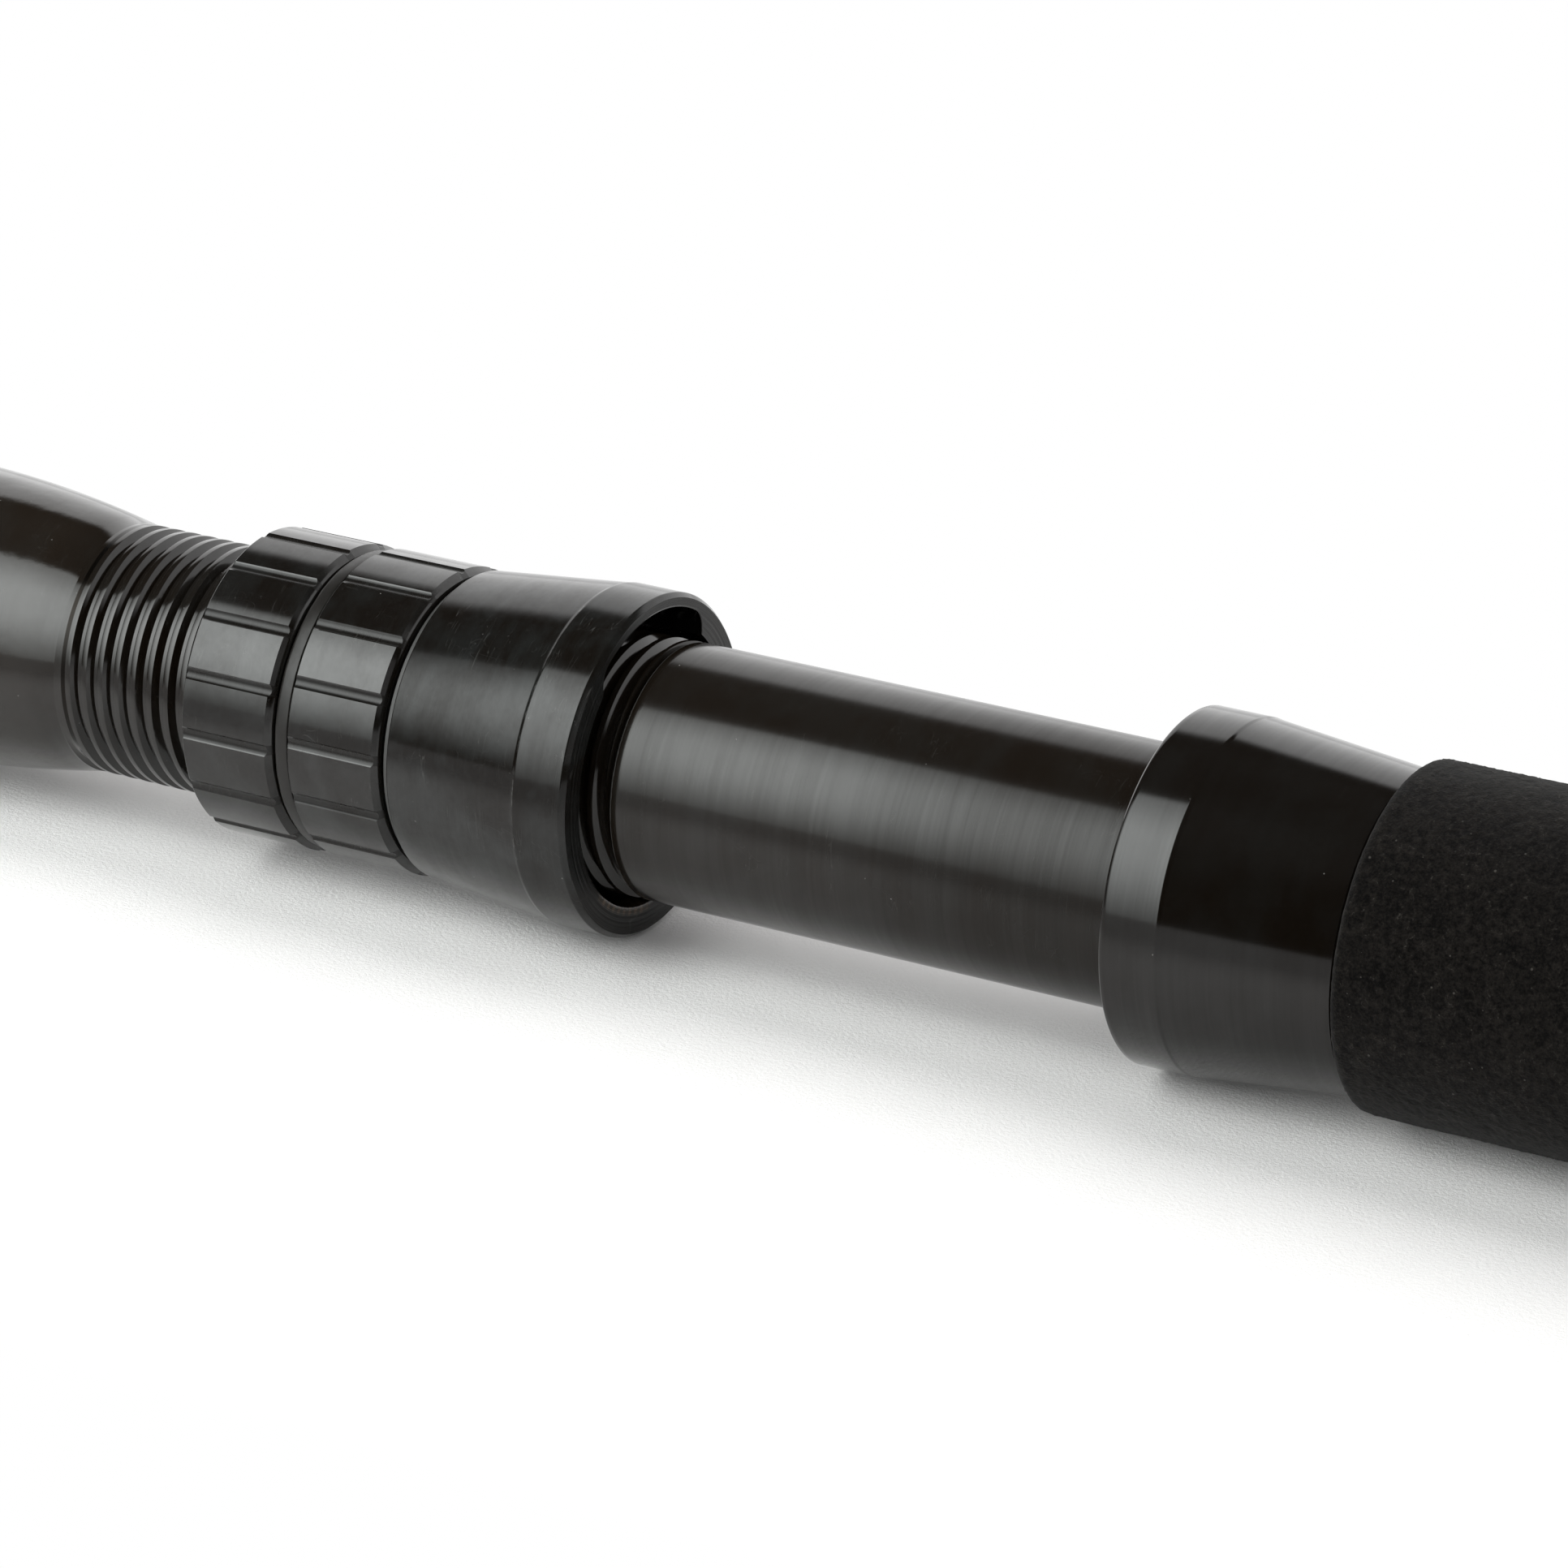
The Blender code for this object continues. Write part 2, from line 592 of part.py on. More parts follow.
def wrapped_outline(radius, half_width, top):
    """Points (turn, reach) round a bar and the flat foot on it, as a tight winding goes."""
    foot_turn = math.atan2(half_width, top)
    touch_turn = foot_turn + math.acos(min(radius / math.hypot(half_width, top), 1.0))
    turns = [foot_turn, (foot_turn + touch_turn) / 2]
    turns += [touch_turn + 2 * (math.pi - touch_turn) * k / WRAP_STEPS for k in range(WRAP_STEPS + 1)]
    turns += [2 * math.pi - turn for turn in (turns[1], turns[0])]
    off_bar = [max(touch_turn - min(turn, 2 * math.pi - turn), 0.0) for turn in turns]
    return [(turn, radius / math.cos(lean)) for turn, lean in zip(turns, off_bar)]


def make_winding(name, heel, toe, end, half_width, height, material):
    """Thread bound round the blank and a guide's foot, drawn in to the bare blank past the toe."""
    bm = bmesh.new()
    loops = []
    outside = (TOUCH_GAP + WINDING_THICKNESS, (heel, toe, end))
    inside = (TOUCH_GAP, (end, toe, heel))
    for extra, stations in (outside, inside):
        for station in stations:
            radius = blank_radius(station) + extra
            top = blank_radius(station) + TOUCH_GAP + height + extra
            points = wrapped_outline(radius, half_width + extra, top)
            loops.append([bm.verts.new(around(station - heel, radius if station == end else reach, turn))
                          for turn, reach in points])
    for first, second in zip(loops, loops[1:] + loops[:1]):
        join_rings(bm, first, second)
    new_object(name, bm, material, rod_place(heel))


def roller_solid(length, rim, waist, bore, lip):
    """A spool that turns about Y, with a rounded waist and a bore."""
    half = length / 2
    neck = half - lip
    profile = [(-half, rim), (-neck, rim), (-neck / 2, waist), (neck / 2, waist), (neck, rim), (half, rim)]
    profile += [(half, bore), (-half, bore)]
    return lay_along_y(turned(profile, ROLLER_SIDES))


def pin_solid(span, radius, head_radius, head):
    """A pin along Y through a span of plates, with a head outside each end."""
    inside = span / 2 + TOUCH_GAP
    outside = inside + head
    profile = [(-outside, 0), (-outside, head_radius), (-inside, head_radius), (-inside, radius)]
    profile += [(inside, radius), (inside, head_radius), (outside, head_radius), (outside, 0)]
    return lay_along_y(turned(profile, ROLLER_SIDES))


def cheek_outline(scale, height):
    """A guide frame from the side: feet fore and aft, and cheeks that lean in to a round top."""
    foot, low, top = FOOT_REACH * scale, CHEEK_REACH * scale, CHEEK_TOP_REACH * scale
    sheet = PLATE_THICKNESS * scale
    right = [(foot, 0), (foot, sheet / 2), (foot - sheet, sheet), (low, sheet)]
    shoulder = height - top
    right += [(top * math.cos(angle), shoulder + top * math.sin(angle)) for angle in CHEEK_TOP_TURNS]
    return right + [(-x, z) for x, z in reversed(right)]


def make_axle_group(prefix, parent, place, scale, materials):
    """A roller on its bushing and screw, between two cheeks, centred on the axle at place."""
    inside = CHEEK_SPACING * scale
    across = inside + 2 * PLATE_THICKNESS * scale
    axle, bushing = AXLE_RADIUS * scale, BUSHING_RADIUS * scale
    length = inside - 2 * TOUCH_GAP
    screw = pin_solid(across, axle, AXLE_HEAD_RADIUS * scale, AXLE_HEAD_HEIGHT * scale)
    sleeve = [(-length / 2, bushing), (length / 2, bushing)]
    sleeve += [(length / 2, axle + TOUCH_GAP), (-length / 2, axle + TOUCH_GAP)]
    roller = roller_solid(length, ROLLER_RADIUS * scale, ROLLER_WAIST_RADIUS * scale, bushing + TOUCH_GAP,
                          ROLLER_RIM * scale)
    sleeve = lay_along_y(turned(sleeve, ROLLER_SIDES))
    made = [new_object(f"{prefix}_axle_screw", screw, materials["steel"], place),
            new_object(f"{prefix}_bushing", sleeve, materials["bronze"], place),
            new_object(f"{prefix}_roller", roller, materials["roller"], place)]
    for thing in made:
        thing.parent = parent


def keeper_solid(scale):
    """The bar over a guide's line gap, with a head riveted over each end."""
    across = (CHEEK_SPACING + 2 * PLATE_THICKNESS) * scale
    return pin_solid(across, KEEPER_RADIUS * scale, (KEEPER_RADIUS + KEEPER_COLLAR) * scale,
                     KEEPER_COLLAR * scale)


def guide_heights(scale):
    """Heights of the axle, of the line keeper and of the cheeks' top, above the foot."""
    axle = AXLE_HEIGHT * scale
    keeper = axle + (ROLLER_RADIUS + LINE_GAP + KEEPER_RADIUS) * scale
    return axle, keeper, keeper + (KEEPER_RADIUS + 2 * KEEPER_COLLAR) * scale


def make_guide(number, station, scale, materials):
    """One roller guide: frame, roller, bushing, axle screw, line keeper and windings."""
    name = f"guide_{number}"
    stand = bpy.data.objects.new(f"{name}_stand", None)
    stand.location = rod_place(station, blank_radius(station) + TOUCH_GAP)
    stand.rotation_euler = (0, math.atan(blank_slope), 0)
    bpy.context.collection.objects.link(stand)

    sheet = PLATE_THICKNESS * scale
    inside = CHEEK_SPACING / 2 * scale
    outside = inside + sheet
    axle, keeper, top = guide_heights(scale)
    frame = new_object(f"{name}_frame", prism(cheek_outline(scale, top), "Y", -outside, outside),
                       materials["steel"], (0, 0, 0))
    frame.parent = stand
    foot, low = FOOT_REACH * scale, CHEEK_REACH * scale
    trough = prism(box_outline(-inside, inside, sheet, 2 * top), "X", -2 * foot, 2 * foot)
    boolean(frame, trough, "DIFFERENCE", "trough")
    toe, heel = FOOT_TOE_HALF_WIDTH * scale, FOOT_HALF_WIDTH * scale
    side = [(2 * foot, toe), (foot, toe), (low + sheet, heel), (low, 2 * outside), (2 * foot, 2 * outside)]
    for label, sign_x, sign_y in (("toe_1", 1, 1), ("toe_2", 1, -1), ("toe_3", -1, 1), ("toe_4", -1, -1)):
        trim = prism([(sign_x * x, sign_y * y) for x, y in side], "Z", -top, 2 * top)
        boolean(frame, trim, "DIFFERENCE", label)
    for label, height, radius in (("axle_hole", axle, AXLE_RADIUS), ("keeper_hole", keeper, KEEPER_RADIUS)):
        hole = lay_along_y(plug(-2 * outside, 2 * outside, radius * scale + TOUCH_GAP, ROLLER_SIDES))
        bmesh.ops.translate(hole, verts=hole.verts, vec=(0, 0, height))
        boolean(frame, hole, "DIFFERENCE", label)

    make_axle_group(name, stand, (0, 0, axle), scale, materials)
    new_object(f"{name}_keeper", keeper_solid(scale), materials["steel"], (0, 0, keeper)).parent = stand

    for label, way in (("rear", -1), ("front", 1)):
        reaches = (low + sheet + TOUCH_GAP, foot, foot + WRAP_REACH * scale)
        ends = [station + way * reach for reach in reaches]
        make_winding(f"{name}_{label}_winding", *ends, heel, sheet, materials["winding"])


def make_tip_top(materials):
    """The roller tip-top: a socket over the blank's end, two cheeks, a roller and its pins."""
    scale = tip_scale
    sheet = PLATE_THICKNESS * scale
    inside = CHEEK_SPACING / 2 * scale
    outside = inside + sheet
    socket_start = tip_socket_end - TIP_SOCKET_LENGTH
    bore = blank_radius(socket_start) + TOUCH_GAP
    wall = bore + TIP_SOCKET_WALL
    length = TIP_CHEEK_LENGTH * scale
    axle_x = length - TIP_CHEEK_ROUND * scale
    axle_z = TIP_CHEEK_HEIGHT * scale - bore
    keeper_x = sheet + 2 * KEEPER_RADIUS * scale
    origin = rod_place(tip_socket_end)
    keeper_z = axle_z + (ROLLER_RADIUS + LINE_GAP + KEEPER_RADIUS) * scale
    far = 2 * (keeper_z + length)
    round_axle, round_keeper = TIP_CHEEK_ROUND * scale, (KEEPER_RADIUS + 2 * KEEPER_COLLAR) * scale
    outline = [(0, -wall / 2), (sheet, -wall * TIP_CHEEK_DIP)]
    corners = ((axle_x, axle_z, round_axle, -60, 40), (keeper_x, keeper_z, round_keeper, 40, 150))
    for x, z, radius, first, last in corners:
        for k in range(TIP_CHEEK_STEPS + 1):
            angle = math.radians(first + (last - first) * k / TIP_CHEEK_STEPS)
            outline.append((x + radius * math.cos(angle), z + radius * math.sin(angle)))
    outline += [(0, wall)]
    frame = new_object("tip_frame", prism(outline, "Y", -outside, outside), materials["steel"], origin)
    gap = prism(box_outline(-inside, inside, -far, far), "X", sheet, far)
    boolean(frame, gap, "DIFFERENCE", "gap")
    throat = prism(box_outline(-inside, inside, wall, far), "X", -far, far)
    boolean(frame, throat, "DIFFERENCE", "throat")
    boolean(frame, plug(-TIP_SOCKET_LENGTH, sheet / 2, wall), "UNION", "socket")
    boolean(frame, plug(-2 * TIP_SOCKET_LENGTH, -TOUCH_GAP / 2, bore), "DIFFERENCE", "socket_bore")
    for label, x, z, radius in (("axle_hole", axle_x, axle_z, AXLE_RADIUS),
                                ("keeper_hole", keeper_x, keeper_z, KEEPER_RADIUS)):
        hole = lay_along_y(plug(-2 * outside, 2 * outside, radius * scale + TOUCH_GAP, ROLLER_SIDES))
        bmesh.ops.translate(hole, verts=hole.verts, vec=(x, 0, z))
        boolean(frame, hole, "DIFFERENCE", label)
    stand = bpy.data.objects.new("tip_stand", None)
    stand.location = origin
    bpy.context.collection.objects.link(stand)
    make_axle_group("tip", stand, (axle_x, 0, axle_z), scale, materials)
    keeper = new_object("tip_keeper", keeper_solid(scale), materials["steel"], (keeper_x, 0, keeper_z))
    keeper.parent = stand


def make_materials():
    return {
        "anodised": new_material("black_anodised", (0.020, 0.019, 0.018), 0.32, 0.75),
        "foam": new_material("black_foam", (0.028, 0.026, 0.024), 0.92, 0.0),
        "rubber": new_material("black_rubber", (0.030, 0.030, 0.029), 0.65, 0.0),
        "nylon": new_material("dark_nylon", (0.035, 0.034, 0.032), 0.50, 0.0),
        "steel": new_material("stainless_steel", (0.55, 0.54, 0.52), 0.28, 1.0),
        "bronze": new_material("sintered_bronze", (0.42, 0.27, 0.12), 0.45, 1.0),
        "roller": new_material("roller_steel", (0.62, 0.61, 0.59), 0.18, 1.0),
        "glass": new_material("dark_blank", (0.018, 0.018, 0.020), 0.22, 0.0),
        "cork": new_material("arbor_foam", (0.45, 0.36, 0.22), 0.80, 0.0),
        "winding": new_material("black_winding", (0.015, 0.015, 0.016), 0.18, 0.0),
    }


def make_rod():
    clear_scene()
    materials = make_materials()
    anodised = materials["anodised"]
    make_butt_tube(anodised)
    make_nock(anodised, materials["rubber"], materials["steel"])
    make_nut("rear_lock_nut", rear_nut_start, REAR_NUT_TURN, anodised)
    make_nut("front_lock_nut", front_nut_start, FRONT_NUT_TURN, anodised)
    make_rings(materials["rubber"], materials["nylon"])
    make_hoods(anodised)
    make_blank(materials["glass"], materials["cork"])
    make_foregrip(materials["foam"], anodised, materials["winding"])
    count = len(GUIDE_SPACINGS)
    for k in range(count):
        station = first_guide + guide_stretch * sum(GUIDE_SPACINGS[:k])
        scale = 1 + (LAST_GUIDE_SCALE - 1) * k / (count - 1)
        make_guide(k + 1, station, scale, materials)
    make_tip_top(materials)
    shade(SHARP_ANGLE)


make_rod()
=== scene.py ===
"""Finished looks of the stand-up fishing rod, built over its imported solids.

Sizes are in metres. A station is a distance along the rod from the butt end, and a turn is an
angle round the rod, from straight up and towards the camera's side.
"""

import json
import math

import bmesh
import bpy
from bpy.props import FloatProperty, FloatVectorProperty, IntProperty, PointerProperty
from mathutils import Matrix, Vector, noise

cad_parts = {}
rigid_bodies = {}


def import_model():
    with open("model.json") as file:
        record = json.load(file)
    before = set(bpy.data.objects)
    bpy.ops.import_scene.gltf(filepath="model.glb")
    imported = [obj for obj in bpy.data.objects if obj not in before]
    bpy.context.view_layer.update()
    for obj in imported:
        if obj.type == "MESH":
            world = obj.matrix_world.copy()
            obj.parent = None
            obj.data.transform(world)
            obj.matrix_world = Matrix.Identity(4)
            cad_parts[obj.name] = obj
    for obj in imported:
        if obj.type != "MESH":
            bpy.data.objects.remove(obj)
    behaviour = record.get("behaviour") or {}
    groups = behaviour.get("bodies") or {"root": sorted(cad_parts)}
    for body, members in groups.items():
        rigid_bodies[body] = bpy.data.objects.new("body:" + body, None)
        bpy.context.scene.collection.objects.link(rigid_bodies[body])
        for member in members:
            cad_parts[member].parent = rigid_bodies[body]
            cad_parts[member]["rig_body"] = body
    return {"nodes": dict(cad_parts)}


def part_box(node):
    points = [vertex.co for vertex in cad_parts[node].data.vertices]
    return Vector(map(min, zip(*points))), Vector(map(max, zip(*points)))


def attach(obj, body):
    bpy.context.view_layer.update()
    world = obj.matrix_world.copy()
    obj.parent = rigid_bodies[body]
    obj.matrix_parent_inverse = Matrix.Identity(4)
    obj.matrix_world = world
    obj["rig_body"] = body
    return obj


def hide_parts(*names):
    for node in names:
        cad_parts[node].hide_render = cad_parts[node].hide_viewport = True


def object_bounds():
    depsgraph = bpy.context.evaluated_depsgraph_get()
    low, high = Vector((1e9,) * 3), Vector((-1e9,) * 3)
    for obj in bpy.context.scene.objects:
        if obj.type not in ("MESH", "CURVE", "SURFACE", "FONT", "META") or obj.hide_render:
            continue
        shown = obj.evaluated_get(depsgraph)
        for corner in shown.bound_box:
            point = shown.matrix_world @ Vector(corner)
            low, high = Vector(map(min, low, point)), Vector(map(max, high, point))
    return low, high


bl_info = {
    "name": "Stand-up Fishing Rod",
    "version": (1, 0, 0),
    "blender": (4, 5, 0),
    "location": "3D View > Sidebar > Rod",
    "description": "Builds the finished pieces of a stand-up fishing rod over its packed solids",
    "category": "Object",
}

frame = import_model()
solid_low, solid_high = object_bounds()
tube_low, tube_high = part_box("butt_tube")
axis_height = (tube_low.z + tube_high.z) / 2
WHOLE_TURN = 2 * math.pi

# Sizes, as in the part's source
BUTT_RADIUS = 0.01905
BUTT_WALL = 0.003
BARREL_RADIUS = 0.015875
BORE_RADIUS = 0.0127
THREAD_TURN = math.radians(112.5)
HOOD_RADIUS = 0.0213
MOUTH_BORE = 0.0174
SLIDE_BORE = 0.016175
ROOF_RADIUS = 0.01955
POCKET_HALF = 0.0115
POCKET_CORNER = 0.003
POCKET_DEPTH = 0.014
BLANK_REAR_RADIUS = 0.011
BLANK_TIP_RADIUS = 0.003
GUIDE_COUNT = 5

# Stations along the tube
FLARE_START = 0.2885
FLARE_END = 0.3218
THREAD_START = 0.32184
THREAD_ROOT = 0.32285
THREAD_END = 0.4015
RELIEF_START = 0.4018
RELIEF_END = 0.4023
GRIP_START = 0.4983


def start_of(node):
    """Station at which a solid starts."""
    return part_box(node)[0].x - solid_low.x


def end_of(node):
    """Station at which a solid ends."""
    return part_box(node)[1].x - solid_low.x


def middle_of(node):
    """The middle of a solid's box."""
    low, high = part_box(node)
    return (low + high) / 2


def spot(station, radius, turn):
    """A point round the rod's axis."""
    return Vector((solid_low.x + station, -radius * math.sin(turn), axis_height + radius * math.cos(turn)))


def evenly(low, high, count):
    """Values at even steps from low to high, both included."""
    return [low + (high - low) * k / count for k in range(count + 1)]


# Properties


def small_length(name, description, default, low, high):
    return FloatProperty(name=name, description=description, default=default, min=low, max=high,
                         precision=5, unit="LENGTH")


def finish_colour(name, description, default):
    return FloatVectorProperty(name=name, description=description, default=default, min=0, max=1,
                               subtype="COLOR")


def brightness(name, description, default, high=20):
    return FloatProperty(name=name, description=description, default=default, min=0, max=high)


class SeatSizes(bpy.types.PropertyGroup):
    """Sizes of the reel seat's fine forms"""

    pitch: small_length("Thread Pitch", "Distance between turns of the thread", 0.00244, 0.001, 0.005)
    depth: small_length("Thread Depth", "Depth of the thread's groove", 0.00085, 0.0001, 0.002)
    groove: small_length("Groove Width", "Width of the groove at its top", 0.00173, 0.0003, 0.0022)
    edge: small_length("Edge Break", "Rounding of the nuts' rear edges", 0.00015, 0.00002, 0.0005)
    steps: IntProperty(name="Steps per Turn", description="Points round one turn of the thread",
                       default=144, min=48, max=240)
    notches: IntProperty(name="Nut Notches", description="Fine grooves round each lock nut",
                         default=16, min=4, max=48)


class FinishColours(bpy.types.PropertyGroup):
    """Colours of the rod's finishes"""

    anodised: finish_colour("Anodised", "Black anodised aluminium", (0.0036, 0.0025, 0.0016))
    bloom: finish_colour("Bloom", "Cloudy patches on the anodised metal", (0.016, 0.019, 0.019))
    bare: finish_colour("Bare Metal", "Aluminium where an edge is worn", (0.42, 0.42, 0.41))
    foam: finish_colour("Foam", "Foregrip foam", (0.0050, 0.0044, 0.0037))
    arbor: finish_colour("Arbor Foam", "Rigid foam inside the barrel", (0.30, 0.25, 0.17))
    rubber: finish_colour("Rubber", "Ring between the nuts and butt bumper", (0.0075, 0.0066, 0.0056))
    nylon: finish_colour("Nylon", "Washer behind the sliding hood", (0.030, 0.030, 0.029))
    steel: finish_colour("Steel", "Guide frames, rollers, screws, keepers and cross pin", (0.56, 0.55, 0.53))
    bronze: finish_colour("Bronze", "Bushings inside the rollers", (0.42, 0.27, 0.12))
    blank: finish_colour("Blank", "Glass-fibre blank under clear coat", (0.012, 0.012, 0.013))
    thread: finish_colour("Winding", "Thread of the windings", (0.010, 0.010, 0.011))
    paper: finish_colour("Paper", "Pale floor", (0.905, 0.897, 0.890))


class StudioSizes(bpy.types.PropertyGroup):
    """Camera and lamps of the stage"""

    lens: FloatProperty(name="Lens", description="Focal length on a 36 mm wide sensor",
                        default=150.5, min=20, max=400, unit="CAMERA")
    reach: FloatProperty(name="Floor Reach", description="Half the width of the floor",
                         default=60.0, min=2, max=200, unit="LENGTH")
    softbox: brightness("Softbox", "Brightness of the softbox beside the seat", 6.8)
    far_softbox: brightness("Far Softbox", "Brightness of the softbox beside the tip", 0.5)
    back: brightness("Back Panel", "Brightness of the panel above and behind the rod", 1.8)
    fill: brightness("Fill", "Brightness of the lamp that opens the shadow in front", 1.05)
    ambient: brightness("Ambient", "Even light from all round on dull surfaces", 0.30, 2)


# Node trees


class Signal:
    """A value in a node tree. Sums and products of signals add the Math nodes for them."""

    def __init__(self, plan, socket):
        self.plan, self.socket = plan, socket

    def __add__(self, other):
        return self.plan.maths("ADD", self, other)

    def __radd__(self, other):
        return self.plan.maths("ADD", other, self)

    def __sub__(self, other):
        return self.plan.maths("SUBTRACT", self, other)

    def __rsub__(self, other):
        return self.plan.maths("SUBTRACT", other, self)

    def __mul__(self, other):
        return self.plan.maths("MULTIPLY", self, other)

    def __rmul__(self, other):
        return self.plan.maths("MULTIPLY", other, self)

    def __truediv__(self, other):
        return self.plan.maths("DIVIDE", self, other)

    def out(self, name):
        """Another output of the node that this signal comes from."""
        return Signal(self.plan, self.socket.node.outputs[name])


class Plan:
    """A node tree while it is written."""

    def __init__(self, tree):
        self.tree = tree
        tree.nodes.clear()

    def node(self, kind, settings=None, values=None, output=0):
        """Adds a node: its type, its settings, then the values or links of its sockets."""
        made = self.tree.nodes.new(kind)
        for key, value in (settings or {}).items():
            if key == "curve":
                points = made.mapping.curves[0].points
                while len(points) < len(value):
                    points.new(0.5, 0.5)
                for point, place in zip(points, value):
                    point.location, point.handle_type = place, "VECTOR"
                made.mapping.update()
            else:
                setattr(made, key, value)
        for key, value in (values or {}).items():
            if isinstance(value, Signal):
                self.tree.links.new(value.socket, made.inputs[key])
            else:
                made.inputs[key].default_value = value
        return Signal(self, made.outputs[output]) if len(made.outputs) else None

    def maths(self, operation, *values):
        return self.node("ShaderNodeMath", {"operation": operation}, dict(enumerate(values)))

    def larger(self, first, second):
        return self.maths("MAXIMUM", first, second)

    def size(self, value):
        """A value without its sign."""
        return self.maths("ABSOLUTE", value)

    def vector(self, operation, *values):
        return self.node("ShaderNodeVectorMath", {"operation": operation}, dict(enumerate(values)))

    def rise(self, value, low, high):
        """0 up to low, 1 from high, and smooth between; the other way round if low is above high."""
        return self.node("ShaderNodeMapRange", {"interpolation_type": "SMOOTHSTEP"},
                         {0: value, 1: low, 2: high})

    def blend(self, share, first, second):
        """A colour between two others."""
        ends = [(*end, 1.0) if isinstance(end, (tuple, list)) and len(end) == 3 else end
                for end in (first, second)]
        return self.node("ShaderNodeMix", {"data_type": "RGBA"}, {0: share, 6: ends[0], 7: ends[1]}, 2)

    def noise(self, place, waves, detail, roughness, distortion=0.0):
        """Noise with its own number of waves per metre along X, Y and Z, or one number for all."""
        scaled = self.vector("MULTIPLY", place, waves if isinstance(waves, tuple) else (waves,) * 3)
        return self.node("ShaderNodeTexNoise", {}, {"Vector": scaled, "Scale": 1.0, "Detail": detail,
                                                    "Roughness": roughness, "Distortion": distortion})

    def light_path(self, ray, *others):
        """1 for light rays of the kinds named."""
        path = share = self.node("ShaderNodeLightPath", {}, {}, ray)
        for other in others:
            share = self.larger(share, path.out(other))
        return share


class Finish(Plan):
    """A material on the rod, whose place is measured from the rod's axis."""

    def __init__(self, name):
        self.material = bpy.data.materials.new(name)
        self.material.use_nodes = True
        super().__init__(self.material.node_tree)
        coordinates = self.node("ShaderNodeTexCoord", output="Object")
        self.place = self.vector("SUBTRACT", coordinates, (0.0, 0.0, axis_height))
        split = self.node("ShaderNodeSeparateXYZ", {}, {0: self.place})
        self.along, self.across, self.up = split, split.out("Y"), split.out("Z")

    def from_axis(self):
        """Distance from the rod's axis."""
        return self.maths("SQRT", self.across * self.across + self.up * self.up)

    def turn(self):
        """Angle round the rod in degrees, from straight up towards the camera's side."""
        return self.maths("ARCTAN2", 0.0 - self.across, self.up) * math.degrees(1)

    def past(self, station, width=0.002):
        """1 on the rod ahead of a station, 0 behind it."""
        return self.rise(self.along, solid_low.x + station, solid_low.x + station + width)

    def grain(self, waves, detail, roughness, distortion=0.0):
        """Noise over the piece."""
        return self.noise(self.place, waves, detail, roughness, distortion)

    def specks(self, per_metre, size, share):
        """1 in small round specks, in that share of the cells of a pattern."""
        cells = self.node("ShaderNodeTexVoronoi", {}, {"Vector": self.place, "Scale": per_metre})
        lot = self.node("ShaderNodeSeparateColor", {}, {0: cells.out("Color")})
        near = self.rise(cells / (lot.out("Green") * size), 1.0, 0.6)
        return near * self.maths("LESS_THAN", lot, share)

    def bump(self, height, distance):
        return self.node("ShaderNodeBump", {}, {"Height": height, "Distance": distance, "Strength": 1.0})

    def finish(self, values):
        """Ends the tree in a Principled shader."""
        shader = self.node("ShaderNodeBsdfPrincipled", {}, values)
        self.node("ShaderNodeOutputMaterial", {}, {"Surface": shader})
        return self.material


def rod_colour(name, factor=1.0):
    """A finish's colour from the panel, made brighter or darker by a factor."""
    return tuple(factor * value for value in getattr(bpy.context.scene.rod_colours, name))


def kept(name, write, *values):
    """A material by name, written the first time that it is asked for."""
    return bpy.data.materials.get(name) or write(name, *values)


